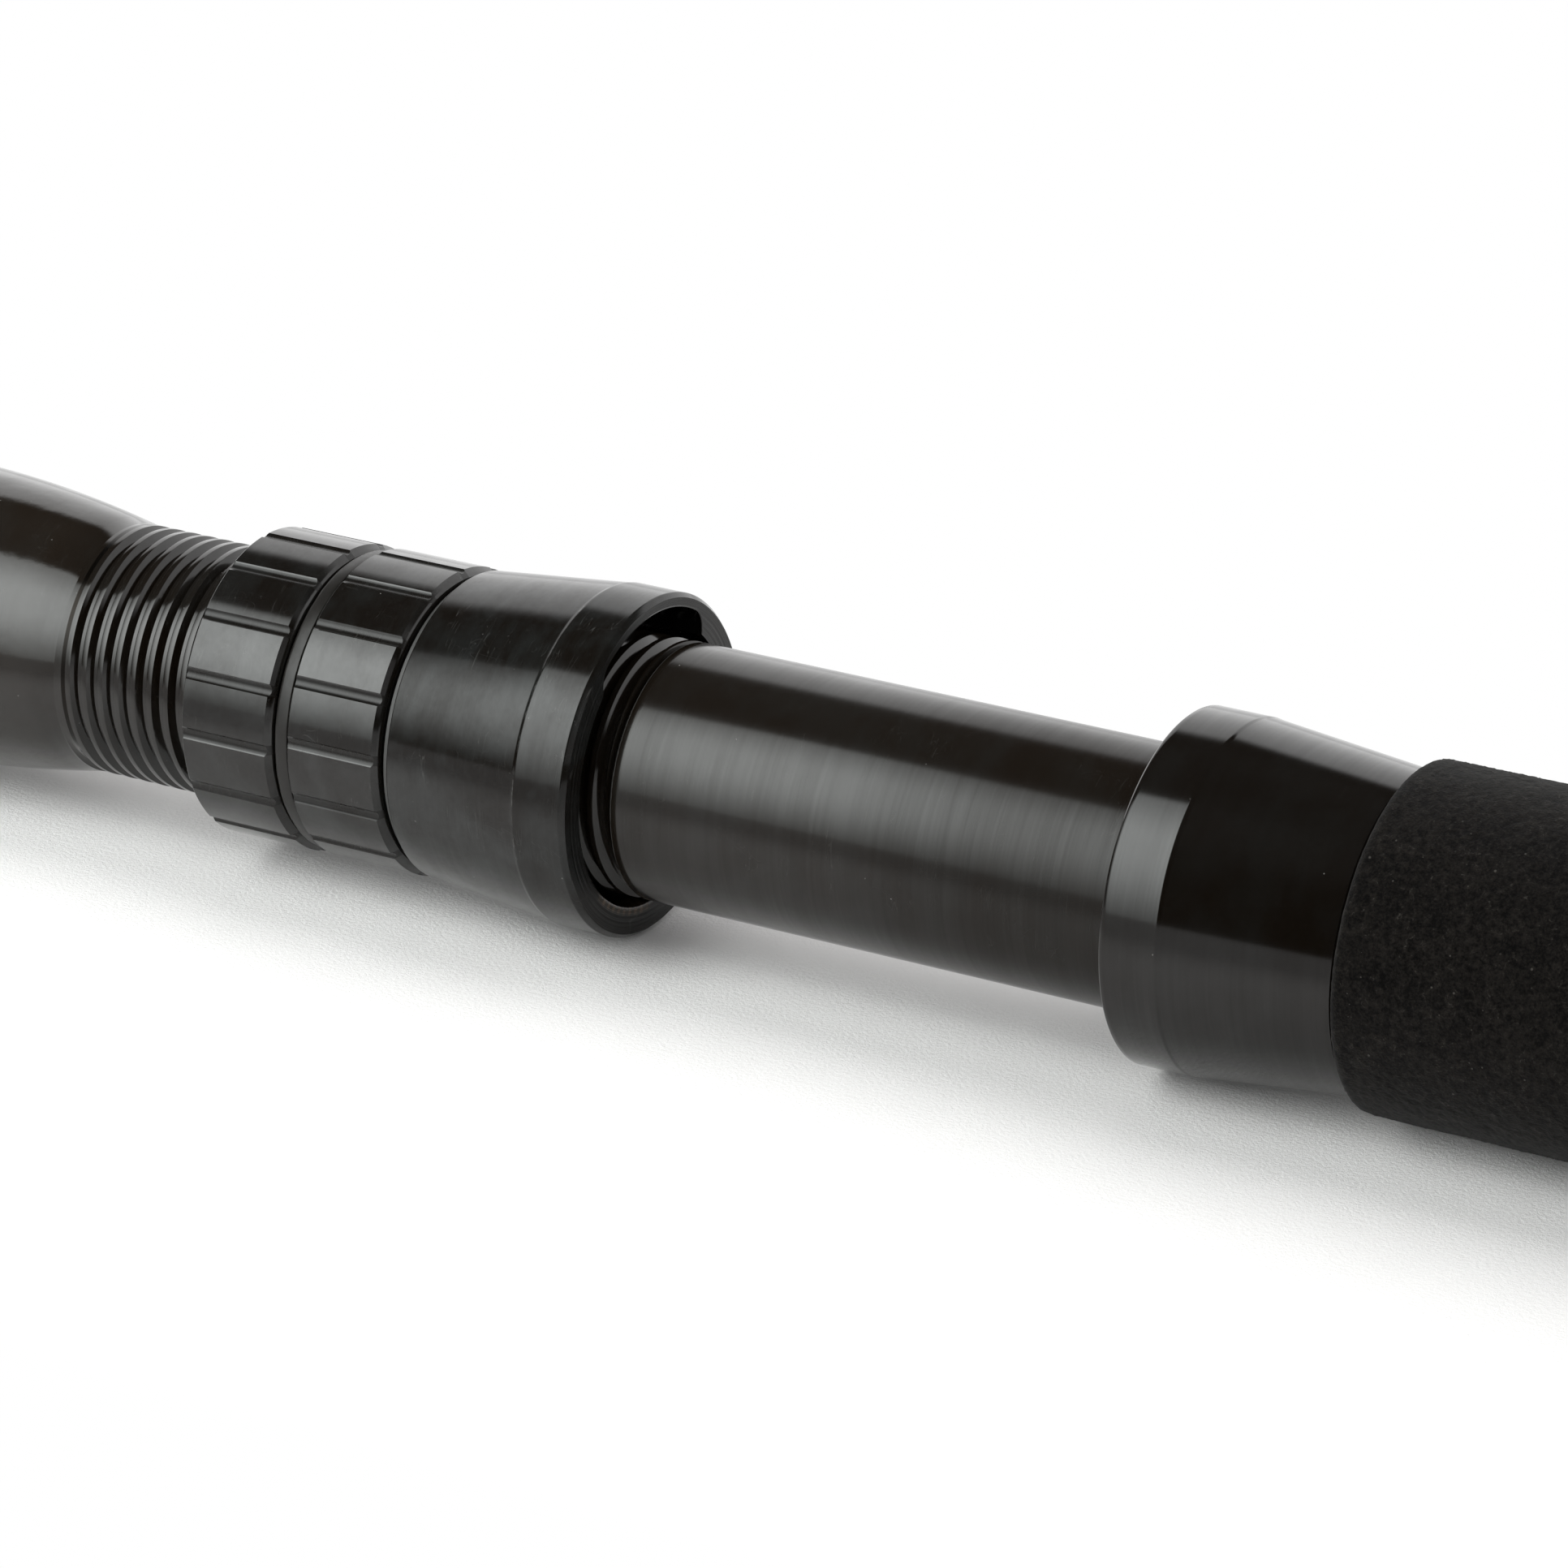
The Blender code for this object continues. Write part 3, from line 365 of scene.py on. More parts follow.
def anodised(name, gloss=0.14, coat=0.36, bloom=0.4, lathe=1.0, dust=0.05, ripple=8.0, tint=1.0,
             scuffs=1.0, painted_shade=0.0):
    """Hard black anodising over turned aluminium, with bloom, lathe lines, dust and worn edges.

    Gloss, coat, lathe, ripple, tint and the painted shade may each be a function that makes the value from
    the plan.
    Heights are in thousandths of a millimetre. The painted shade is 1 where the surface is made dark and dull
    to stand in for shade. The mesh's wear is above 0 on worn edges, and below 0 on dull faced surfaces, with
    turning rings where it is -1.
    """
    plan = Finish(name)
    gloss, coat, lathe, ripple, tint, painted_shade = (value(plan) if callable(value) else value
                                              for value in (gloss, coat, lathe, ripple, tint, painted_shade))
    lines = plan.grain((2600, 40, 40), 3, 0.75, 0.3) - 0.5
    bands = plan.grain((700, 25, 25), 3, 0.6) - 0.5
    patches = plan.rise(plan.grain((150, 110, 110), 3, 0.5, 0.4), 0.35, 0.70)
    mottle = plan.grain((1500, 1100, 1100), 3, 0.7) - 0.5
    rub = plan.grain((700, 500, 500), 4, 0.7)
    waves = plan.grain((150, 200, 200), 2, 0.5)
    specks = plan.specks(900, 0.11, dust)
    hairs = plan.size(plan.grain((120, 300, 260), 2, 0.5, 1.5) - 0.5)
    streaks = plan.size(plan.grain((800, 70, 70), 2, 0.5, 0.6) - 0.5)
    scratch = plan.larger(plan.rise(hairs, 0.0022, 0.0004), plan.rise(streaks, 0.005, 0.001))
    scratch = scratch * plan.rise(waves, 0.46, 0.58) * scuffs
    wear = plan.node("ShaderNodeAttribute", {"attribute_name": "wear"}, {}, "Fac")
    edge = plan.rise(wear + (rub - 0.5) * 0.9, 0.45, 0.85)
    face = plan.rise(wear, -0.3, -0.8)
    outwards = plan.node("ShaderNodeCombineXYZ", {}, {0: plan.from_axis()})
    rings = (plan.noise(outwards, (3000, 0, 0), 2, 0.6) - 0.5) * plan.rise(wear, -0.7, -0.95)

    base = plan.node("ShaderNodeVectorMath", {"operation": "SCALE"},
                     {0: rod_colour("anodised"), "Scale": tint})
    haze = patches * bloom * 0.35 + (mottle + lines) * 0.25 * bloom
    colour = plan.blend(haze, base, rod_colour("bloom"))
    pale = plan.larger(specks * 0.5, scratch * 0.07) + plan.rise(rings, 0.04, 0.2) * 0.06
    colour = plan.blend(pale, colour, (0.22, 0.22, 0.21))
    colour = plan.blend(edge * 0.24, colour, rod_colour("bare"))
    rough = gloss + patches * bloom * 0.03 + mottle * 0.05 + bands * lathe * 0.03
    shine = coat * (1.0 + (patches - 0.5) * bloom * 0.5 + mottle * bloom * 0.8)
    # Where the painted shade is 1, the coat goes and the metal turns dark and dull
    shine = (shine + (lines + bands) * lathe * 0.17) * (1.0 - face) * (1.0 - painted_shade)
    height = lines * lathe * 0.9 + bands * lathe * 2.0 + rings * 105.0 + face * lines * 20.0
    height = height + (waves + (rub + mottle * 0.5) * 0.12) * ripple
    return plan.finish({"Base Color": colour, "Roughness": rough + specks * 0.3 + face * 0.25 + painted_shade * 0.12,
                        "Metallic": plan.larger(edge * 0.4, painted_shade), "Coat Weight": shine,
                        "Normal": plan.bump(height, 0.000001), "IOR": 1.30, "Coat Roughness": 0.11})


def thread_flank_shade(plan):
    """0.8 on the flanks of the thread that face the butt: painted shade at the groove's root, which makes
    them dark and dull.
    """
    turns = (plan.along - (solid_low.x + THREAD_ROOT)) * (1 / bpy.context.scene.rod_seat.pitch)
    phase = plan.maths("FRACT", turns - (plan.turn() - math.degrees(THREAD_TURN)) * (1 / 360))
    flank = plan.rise(phase, 0.08, 0.12) * plan.rise(phase, 0.37, 0.33)
    return flank * plan.past(0.3220, 0.0005) * (1.0 - plan.past(0.4010, 0.001)) * 0.8


def tube_finish(name):
    """Anodising whose gloss changes along the tube: a glossy butt and thread, and a rubbed barrel."""

    def coat(plan):
        mouth = plan.past(0.400, 0.003) * 0.25 - plan.past(0.403, 0.012) * 0.08
        return 0.45 - mouth - plan.past(0.424, 0.032) * 0.24

    return anodised(name, gloss=lambda plan: 0.09 + plan.past(0.400, 0.003) * 0.08, coat=coat, bloom=0.35,
                    lathe=lambda plan: 0.7 + plan.past(0.400, 0.003) * 0.8, dust=0.06, scuffs=0.5,
                    # The thread's flanks that face the butt get painted shade
                    ripple=lambda plan: 130.0 - plan.past(0.315, 0.01) * 124.0, painted_shade=thread_flank_shade,
                    tint=lambda plan: 2.4 - plan.past(0.315, 0.01) + plan.past(0.400, 0.003) * 0.3)


def hood_finish(name):
    """Anodising of the sliding hood: bloomed and scuffed, with a ledge of coarse tool marks in its mouth."""
    mouth = end_of("sliding_hood")

    def coat(plan):
        return 0.33 - plan.past(mouth - 0.0073, 0.0003) * 0.14

    def ledge(plan):
        teeth = plan.maths("SINE", plan.turn() * 1.4 + plan.along * 4000.0)
        inside = plan.rise(plan.from_axis(), 0.0186, 0.0180) * plan.past(mouth - 0.0030, 0.0006)
        low = plan.rise(plan.size(plan.turn() - 154.0), 24.0, 16.0)
        return 1.0 + inside * low * (9.0 + plan.rise(teeth, -0.2, 0.6) * 15.0)

    return anodised(name, gloss=0.12, coat=coat, bloom=1.1, dust=0.14, tint=ledge, scuffs=1.3)


def foam_finish(name, tone="foam"):
    """Closed-cell foam, ground to shape: matte and fuzzy, with a few pale fibres and specks."""
    plan = Finish(name)
    fine = plan.grain(3300, 3, 0.75) - 0.5
    tufts = plan.grain(1100, 4, 0.7, 0.5) - 0.5
    broad = plan.grain(160, 4, 0.6) - 0.5
    hairs = plan.size(plan.grain((420, 520, 480), 2, 0.5, 2.0) - 0.5)
    fibres = plan.rise(hairs, 0.016, 0.004) * plan.rise(tufts, 0.04, 0.12)
    colour = plan.blend(fine * 2.2 + tufts * 2.4 + broad * 0.8 + 0.36, rod_colour(tone, 0.15),
                        rod_colour(tone, 2.2))
    pale = plan.larger(plan.specks(800, 0.16, 0.45) * 0.25, fibres * 0.12)
    return plan.finish({"Base Color": plan.blend(pale, colour, (0.14, 0.13, 0.12)),
                        "Roughness": 0.92 + broad * 0.1, "Normal": plan.bump(fine + tufts * 1.2, 0.00008),
                        "IOR": 1.4, "Specular IOR Level": 0.08, "Sheen Weight": 0.06,
                        "Sheen Roughness": 0.5})


def rubber_finish(name):
    """Moulded rubber with pale dust."""
    plan = Finish(name)
    fine = plan.grain((1500, 900, 900), 4, 0.6)
    patches = plan.rise(plan.grain((160, 120, 120), 4, 0.6), 0.35, 0.75)
    colour = plan.blend(patches * 0.6 + (fine - 0.5) * 0.5, rod_colour("rubber"), rod_colour("rubber", 1.5))
    colour = plan.blend(plan.specks(1100, 0.15, 0.10) * 0.5, colour, (0.3, 0.3, 0.3))
    return plan.finish({"Base Color": colour, "Roughness": 0.34 + (fine - 0.5) * 0.2,
                        "Normal": plan.bump(fine, 0.000008), "IOR": 1.38})


def nylon_finish(name):
    """Plain turned nylon."""
    plan = Finish(name)
    fine = plan.grain((2200, 600, 600), 3, 0.6)
    return plan.finish({"Base Color": plan.blend(fine, rod_colour("nylon"), rod_colour("nylon", 1.7)),
                        "Roughness": 0.5 + (fine - 0.5) * 0.2, "Normal": plan.bump(fine, 0.00002),
                        "IOR": 1.5})


def steel_finish(name, tone="steel", roughness=0.27, waves=(700, 5200, 700)):
    """Bright metal with fine turning or brushing marks across it."""
    plan = Finish(name)
    marks = plan.grain(waves, 3, 0.6)
    patches = plan.grain(180, 4, 0.6)
    colour = plan.blend(marks * 0.5 + patches * 0.3, rod_colour(tone), rod_colour(tone, 0.72))
    return plan.finish({"Base Color": colour, "Metallic": 1.0, "Normal": plan.bump(marks, 0.000012),
                        "Roughness": roughness + (marks - 0.5) * 0.16 + (patches - 0.5) * 0.14})


def blank_finish(name):
    """Dark glass fibre, with its tape turns faint under a clear coat."""
    plan = Finish(name)
    turns = plan.maths("SINE", plan.along * 1900.0 + plan.turn() * math.radians(1))
    patches = plan.grain((60, 200, 200), 4, 0.6)
    colour = plan.blend(turns * 0.25 + patches * 0.5, rod_colour("blank"), rod_colour("blank", 1.9))
    return plan.finish({"Base Color": colour, "Roughness": 0.30 + (patches - 0.5) * 0.2,
                        "Coat Weight": 0.9 + (patches - 0.5) * 0.2, "Coat Roughness": 0.06, "IOR": 1.5,
                        "Normal": plan.bump(turns * 0.5 + patches * 0.4, 0.00003)})


def winding_finish(name):
    """Fine thread, turn against turn, under a smooth clear coat."""
    plan = Finish(name)
    thread_width = 0.00032
    turns = plan.maths("SINE", plan.along * (WHOLE_TURN / thread_width))
    patches = plan.grain(300, 3, 0.6)
    colour = plan.blend(turns * 0.35 + patches * 0.5, rod_colour("thread"), rod_colour("thread", 3.2))
    return plan.finish({"Base Color": colour, "Roughness": 0.42 + (patches - 0.5) * 0.2,
                        "Coat Weight": 0.95 + (patches - 0.5) * 0.1, "Coat Roughness": 0.05, "IOR": 1.5,
                        "Normal": plan.bump(turns, 0.00005)})


def paper_finish(name):
    """The floor: pale paper with fine grain near the rod, and plain white further out."""
    plan = Finish(name)
    grain = plan.grain((1700, 1700, 0), 4, 0.75)
    broad = plan.grain((90, 90, 0), 3, 0.5)
    colour = plan.blend((grain - 0.5) * 0.8 + (broad - 0.5) * 0.4 + 0.5, rod_colour("paper", 0.93),
                        rod_colour("paper"))
    dull = plan.node("ShaderNodeBsdfDiffuse", {}, {"Color": colour, "Normal": plan.bump(grain, 0.00016)})
    past_end = plan.larger(plan.size(plan.along) - solid_high.x, 0.0)
    far = plan.larger(plan.rise(plan.across, -0.045, -0.13), plan.rise(plan.across, 0.02, 0.08))
    far = plan.larger(far, plan.rise(past_end, 0.02, 0.10))
    # Gloss shows the floor behind the rod brighter than the floor in front: painted shade on the floor in
    # front
    bright = plan.larger(plan.light_path("Is Camera Ray"), plan.rise(plan.across, 0.0, 0.03))
    white = plan.node("ShaderNodeEmission", {}, {"Color": (1, 1, 1, 1), "Strength": 0.78 + bright * 0.22})
    seen = plan.light_path("Is Camera Ray", "Is Glossy Ray", "Is Transmission Ray")
    mixed = plan.node("ShaderNodeMixShader", {}, {0: seen * far, 1: dull, 2: white})
    plan.node("ShaderNodeOutputMaterial", {}, {"Surface": mixed})
    return plan.material


# Meshes


def placed(name, data):
    """An object with that data, in the scene."""
    made = bpy.data.objects.new(name, data)
    bpy.context.scene.collection.objects.link(made)
    return made


def mesh_of(name, bm):
    """A mesh made of a bmesh, which is freed."""
    mesh = bpy.data.meshes.new(name)
    bm.to_mesh(mesh)
    bm.free()
    return mesh


def dress(mesh, material, sharp):
    """Gives a mesh its material, and smooth shading but for edges sharper than an angle."""
    mesh.materials.clear()
    mesh.materials.append(material)
    mesh.shade_smooth()
    mesh.set_sharp_from_angle(angle=math.radians(sharp))


def loft(rings):
    """Points and faces of a closed shell whose rings are joined in order, the last to the first."""
    count = len(rings[0])
    points = [point for ring in rings for point in ring]
    faces = []
    for k in range(len(rings)):
        first, second = k * count, (k + 1) % len(rings) * count
        for i in range(count):
            j = (i + 1) % count
            faces.append((first + i, first + j, second + j, second + i))
    return points, faces


def new_piece(name, points, faces, material, wear=None, sharp=40.0):
    """A closed mesh object at the origin, with its faces turned outwards."""
    mesh = bpy.data.meshes.new(name)
    mesh.from_pydata([tuple(point) for point in points], [], faces)
    bm = bmesh.new()
    bm.from_mesh(mesh)
    bmesh.ops.recalc_face_normals(bm, faces=bm.faces)
    bm.to_mesh(mesh)
    bm.free()
    if wear is not None:
        mesh.attributes.new("wear", "FLOAT", "POINT").data.foreach_set("value", wear)
    dress(mesh, material, sharp)
    return placed(name, mesh)


def settle(piece, body, slot, *nodes):
    """Makes a finished piece ride on its body in place of its solids."""
    for node in nodes:
        if frame["nodes"][node]["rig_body"] != body:
            raise RuntimeError(f"{node} doesn't ride on {body}")
    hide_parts(*nodes)
    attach(piece, body)
    return piece


def softened(corners, steps=4):
    """A profile of (station, radius, rounding) corners, each rounded by its own radius."""
    made = []
    for k, (x, r, rounding) in enumerate(corners):
        here = Vector((x, r))
        before = Vector(corners[k - 1][:2]) - here
        after = Vector(corners[(k + 1) % len(corners)][:2]) - here
        if rounding <= 0:
            made.append((x, r, 0.0))
            continue
        reach = min(rounding, before.length * 0.45, after.length * 0.45)
        first, last = here + before.normalized() * reach, here + after.normalized() * reach
        for share in evenly(0, 1, steps):
            point = first.lerp(here, share).lerp(here.lerp(last, share), share)
            made.append((point.x, point.y, 1.0 - abs(2 * share - 1)))
    return made


def make_turned(node, body, slot, profile, material, sides=96, sharp=50.0, shift=None):
    """A piece turned about the rod's axis from a closed profile of (station, radius, wear).

    The shift is a function of the station, radius and turn that is added to the radius.
    """
    turns = [WHOLE_TURN * k / sides for k in range(sides)]
    rings, wear = [], []
    for x, r, worn in profile:
        rings.append([spot(x, r + (shift(x, r, turn) if shift else 0.0), turn) for turn in turns])
        wear += [worn] * sides
    return settle(new_piece(f"fine_{node}", *loft(rings), material, wear, sharp), body, slot, node)


def round_edges(piece, width, material):
    """Rounds a piece's edges, makes all its modifiers plain mesh and gives it its material."""
    sharp = 30.0
    modifier = piece.modifiers.new("edges", "BEVEL")
    modifier.width, modifier.segments, modifier.angle_limit = width, 3, math.radians(sharp)
    bpy.context.view_layer.update()
    made = bpy.data.meshes.new_from_object(piece.evaluated_get(bpy.context.evaluated_depsgraph_get()))
    piece.modifiers.clear()
    piece.data = made
    dress(made, material, sharp)


# Geometry Nodes


def node_group(name, sizes):
    """An empty Geometry Nodes group with a geometry in and out, and named inputs."""
    tree = bpy.data.node_groups.new(name, "GeometryNodeTree")
    plan = Plan(tree)
    tree.interface.new_socket("Geometry", in_out="OUTPUT", socket_type="NodeSocketGeometry")
    for label, kind in {"Geometry": "NodeSocketGeometry", **sizes}.items():
        tree.interface.new_socket(label, in_out="INPUT", socket_type=kind)
    return plan, plan.node("NodeGroupInput")


def end_group(plan, geometry, material):
    real = plan.node("GeometryNodeRealizeInstances", {}, {0: geometry})
    dressed = plan.node("GeometryNodeSetMaterial", {}, {"Geometry": real, "Material": material})
    plan.node("NodeGroupOutput", {}, {0: dressed})


def grown(name, plan, mesh, inputs):
    """The plain mesh that a Geometry Nodes group makes of a mesh, with its inputs set by name."""
    carrier = placed(name, mesh)
    modifier = carrier.modifiers.new(name, "NODES")
    modifier.node_group = plan.tree
    sockets = {item.name: item.identifier for item in plan.tree.interface.items_tree
               if item.in_out == "INPUT"}
    for label, value in inputs.items():
        modifier[sockets[label]] = value
    bpy.context.view_layer.update()
    evaluated = carrier.evaluated_get(bpy.context.evaluated_depsgraph_get())
    made = bpy.data.meshes.new_from_object(evaluated)
    carrier.modifiers.remove(modifier)
    bpy.data.objects.remove(carrier)
    if not made.polygons:
        raise RuntimeError(f"{name}: Geometry Nodes made nothing")
    return made


def thread_group(material):
    """Geometry Nodes for the seat's thread: a helical sheet between two rings, grooved once a pitch."""
    floats = ("Start", "End", "First Root", "First Turn", "Pitch", "Depth", "Groove", "Radius", "Fade")
    counts = ("Steps", "Turns", "Columns")
    plan, given = node_group("seat_thread", {**dict.fromkeys(floats, "NodeSocketFloat"),
                                             **dict.fromkeys(counts, "NodeSocketInt")})
    steps, pitch, columns = given.out("Steps"), given.out("Pitch"), given.out("Columns")
    rows = steps * given.out("Turns") + 1
    grid = plan.node("GeometryNodeMeshGrid", {}, {"Vertices X": rows, "Vertices Y": columns + 1})
    index = plan.node("GeometryNodeInputIndex")
    row = plan.maths("FLOOR", (index + 0.5) / (columns + 1))
    column = index - row * (columns + 1)
    around = plan.maths("MODULO", row, steps) / steps
    # Columns lie close together over the groove and its edges
    packed = plan.node("ShaderNodeFloatCurve",
                       {"curve": ((0, 0), (1 / 16, 0.1425), (2 / 16, 0.1455), (3 / 16, 0.152),
                                  (6 / 16, 0.385), (7 / 16, 0.4016), (9 / 16, 0.5984), (10 / 16, 0.615),
                                  (13 / 16, 0.848), (14 / 16, 0.8545), (15 / 16, 0.8575), (1, 1))},
                       {"Value": column / columns})
    early = plan.maths("FLOOR", (row + 0.25) / steps) + around - 2.5
    raw = given.out("First Root") + pitch * (early + packed)
    station = plan.maths("MINIMUM", plan.larger(raw, given.out("Start")), given.out("End"))
    phase = (station - given.out("First Root")) / pitch - around
    turn_count = plan.maths("ROUND", phase) + around
    off_root = plan.size(phase + around - turn_count) * pitch
    share = plan.maths("MINIMUM", off_root / (given.out("Groove") * 0.5), 1.2) / 1.2
    profile = plan.node("ShaderNodeFloatCurve", {"curve": ((0, 1), (0.2313, 1), (0.8333, 0), (1, 0))},
                        {"Value": share})
    fade = plan.rise(turn_count, 0.0, given.out("Fade"))
    depth = profile * given.out("Depth") * fade
    radius = given.out("Radius") - depth
    turn = given.out("First Turn") + around * WHOLE_TURN
    where = plan.node("ShaderNodeCombineXYZ", {},
                      {0: station + solid_low.x, 1: 0.0 - radius * plan.maths("SINE", turn),
                       2: radius * plan.maths("COSINE", turn) + axis_height})
    moved = plan.node("GeometryNodeSetPosition", {}, {"Geometry": grid, "Position": where})
    crest_edge = plan.rise(share, 0.78, 0.83) * plan.rise(share, 0.90, 0.84) * fade * 0.4
    stored = plan.node("GeometryNodeStoreNamedAttribute", {"data_type": "FLOAT", "domain": "POINT"},
                       {"Geometry": moved, "Name": "wear", "Value": crest_edge})
    welded = plan.node("GeometryNodeMergeByDistance", {}, {"Geometry": stored, "Distance": 0.000001})
    end_group(plan, welded, material)
    return plan


def scatter_group(material):
    """Geometry Nodes that set a copy of one solid at each point, scaled as the point says."""
    plan, given = node_group("set_at_points", {"Solid": "NodeSocketObject"})
    solid = plan.node("GeometryNodeObjectInfo", {}, {"Object": given.out("Solid")}, "Geometry")
    size = plan.node("GeometryNodeInputNamedAttribute", {"data_type": "FLOAT"}, {"Name": "size"})
    copies = plan.node("GeometryNodeInstanceOnPoints", {},
                       {"Points": given, "Instance": solid, "Scale": size})
    end_group(plan, copies, material)
    return plan


def mirrored(profile):
    """A profile of (distance, radius) that goes on as its own mirror image."""
    return profile + [(-y, r) for y, r in reversed(profile)]


def turned_solid(profile, sides):
    """A solid turned about Y at the origin, from a profile of (distance, radius).

    The profile starts and ends on the axis, or else its ends are joined.
    """
    points, faces, rings = [], [], []
    for y, r in profile:
        turns = [WHOLE_TURN * k / sides for k in range(sides if r > 0 else 1)]
        rings.append(range(len(points), len(points) + len(turns)))
        points += [(r * math.cos(turn), y, r * math.sin(turn)) for turn in turns]
    pairs = list(zip(rings, rings[1:]))
    if len(rings[0]) > 1:
        pairs.append((rings[-1], rings[0]))
    for one, two in pairs:
        for k in range(sides):
            j = (k + 1) % sides
            corners = (one[k % len(one)], one[j % len(one)], two[j % len(two)], two[k % len(two)])
            unique = list(dict.fromkeys(corners))
            if len(unique) > 2:
                faces.append(unique)
    return new_piece("template", points, faces, None, None, 35.0)


def set_solids(name, body, slot, profile, sides, material, nodes, scales):
    """One solid turned about Y, set by Geometry Nodes in the middle of each node that it replaces."""
    template = turned_solid(profile, sides)
    mesh = bpy.data.meshes.new(name)
    mesh.from_pydata([tuple(middle_of(node)) for node in nodes], [], [])
    mesh.attributes.new("size", "FLOAT", "POINT").data.foreach_set("value", scales)
    made = grown(name, scatter_group(material), mesh, {"Solid": template})
    made.set_sharp_from_angle(angle=math.radians(40))
    bpy.data.objects.remove(template)
    settle(placed(name, made), body, slot, *nodes)


# Butt, seat and grip


def make_butt_tube(sizes):
    """Butt, flare, thread, relief and barrel in one length of tube, with its bore."""
    material = kept("tube_anodising", tube_finish)
    steps = sizes.steps
    turns = math.ceil((THREAD_END - THREAD_ROOT) / sizes.pitch) + 4
    sheet = grown("fine_butt_tube", thread_group(material), bpy.data.meshes.new("thread_seed"),
                  {"Start": THREAD_START, "End": THREAD_END, "First Root": THREAD_ROOT,
                   "First Turn": THREAD_TURN, "Pitch": sizes.pitch, "Depth": sizes.depth,
                   "Groove": sizes.groove, "Radius": BARREL_RADIUS, "Fade": 40 / 360, "Steps": steps,
                   "Turns": turns, "Columns": 16})
    bm = bmesh.new()
    bm.from_mesh(sheet)
    layer = bm.verts.layers.float["wear"]
    bmesh.ops.remove_doubles(bm, verts=bm.verts, dist=0.000001)
    middle = solid_low.x + (THREAD_START + THREAD_END) / 2
    ends = [[vert for vert in bm.verts if vert.is_boundary and (vert.co.x > middle) == late]
            for late in (False, True)]
    if [len(ring) for ring in ends] != [steps, steps]:
        raise RuntimeError(f"the thread's ends aren't rings: {[len(ring) for ring in ends]}")

    def angle_step(vert):
        turn = math.atan2(-vert.co.y, vert.co.z - axis_height) - THREAD_TURN
        return round(turn / WHOLE_TURN * steps) % steps

    def new_ring(x, r, worn):
        made = [bm.verts.new(spot(x, r, THREAD_TURN + WHOLE_TURN * k / steps)) for k in range(steps)]
        for vert in made:
            vert[layer] = worn
        return made

    first, last = (sorted(ring, key=angle_step) for ring in ends)
    rear, front = start_of("butt_tube"), end_of("butt_tube")
    inner, edge = BUTT_RADIUS - BUTT_WALL, 0.0003
    behind = [(rear, inner + 0.0004, 0.2), (rear, BUTT_RADIUS - edge, 1.0), (rear + edge, BUTT_RADIUS, 0.6)]
    behind += [(x, BUTT_RADIUS, 0.0) for x in evenly(rear + 0.002, FLARE_START, 8)]
    behind += [(FLARE_START + (FLARE_END - FLARE_START) * share,
                BUTT_RADIUS + (BARREL_RADIUS - BUTT_RADIUS) * share ** 2.15, 0.0)
               for share in evenly(0, 1, 16)[1:]]
    root = BARREL_RADIUS - sizes.depth
    ahead = [(RELIEF_START, root, 0.0), (RELIEF_START + 0.0002, root, 0.0),
             (RELIEF_END, BARREL_RADIUS - 0.0001, 1.0), (RELIEF_END + 0.0002, BARREL_RADIUS, 0.2)]
    ahead += [(x, BARREL_RADIUS, 0.0) for x in evenly(RELIEF_END + 0.0012, front - 0.0045, 12)]
    ahead += [(front - edge, BARREL_RADIUS, 0.3), (front, BARREL_RADIUS - edge, 0.6),
              (front, BORE_RADIUS + 0.0005, 0.0), (front - 0.0005, BORE_RADIUS, 0.0),
              (FLARE_END - 0.0013, BORE_RADIUS, 0.0), (FLARE_START, inner, 0.0), (rear + 0.0004, inner, 0.0)]
    before = [new_ring(*row) for row in behind] + [first]
    beyond = [last] + [new_ring(*row) for row in ahead] + [before[0]]
    for one, two in (*zip(before, before[1:]), *zip(beyond, beyond[1:])):
        for k in range(steps):
            j = (k + 1) % steps
            bm.faces.new((one[k], one[j], two[j], two[k]))
    bmesh.ops.recalc_face_normals(bm, faces=bm.faces)
    mesh = mesh_of("fine_butt_tube", bm)
    dress(mesh, material, 48.0)
    settle(placed("fine_butt_tube", mesh), "rod", "black_anodised", "butt_tube")


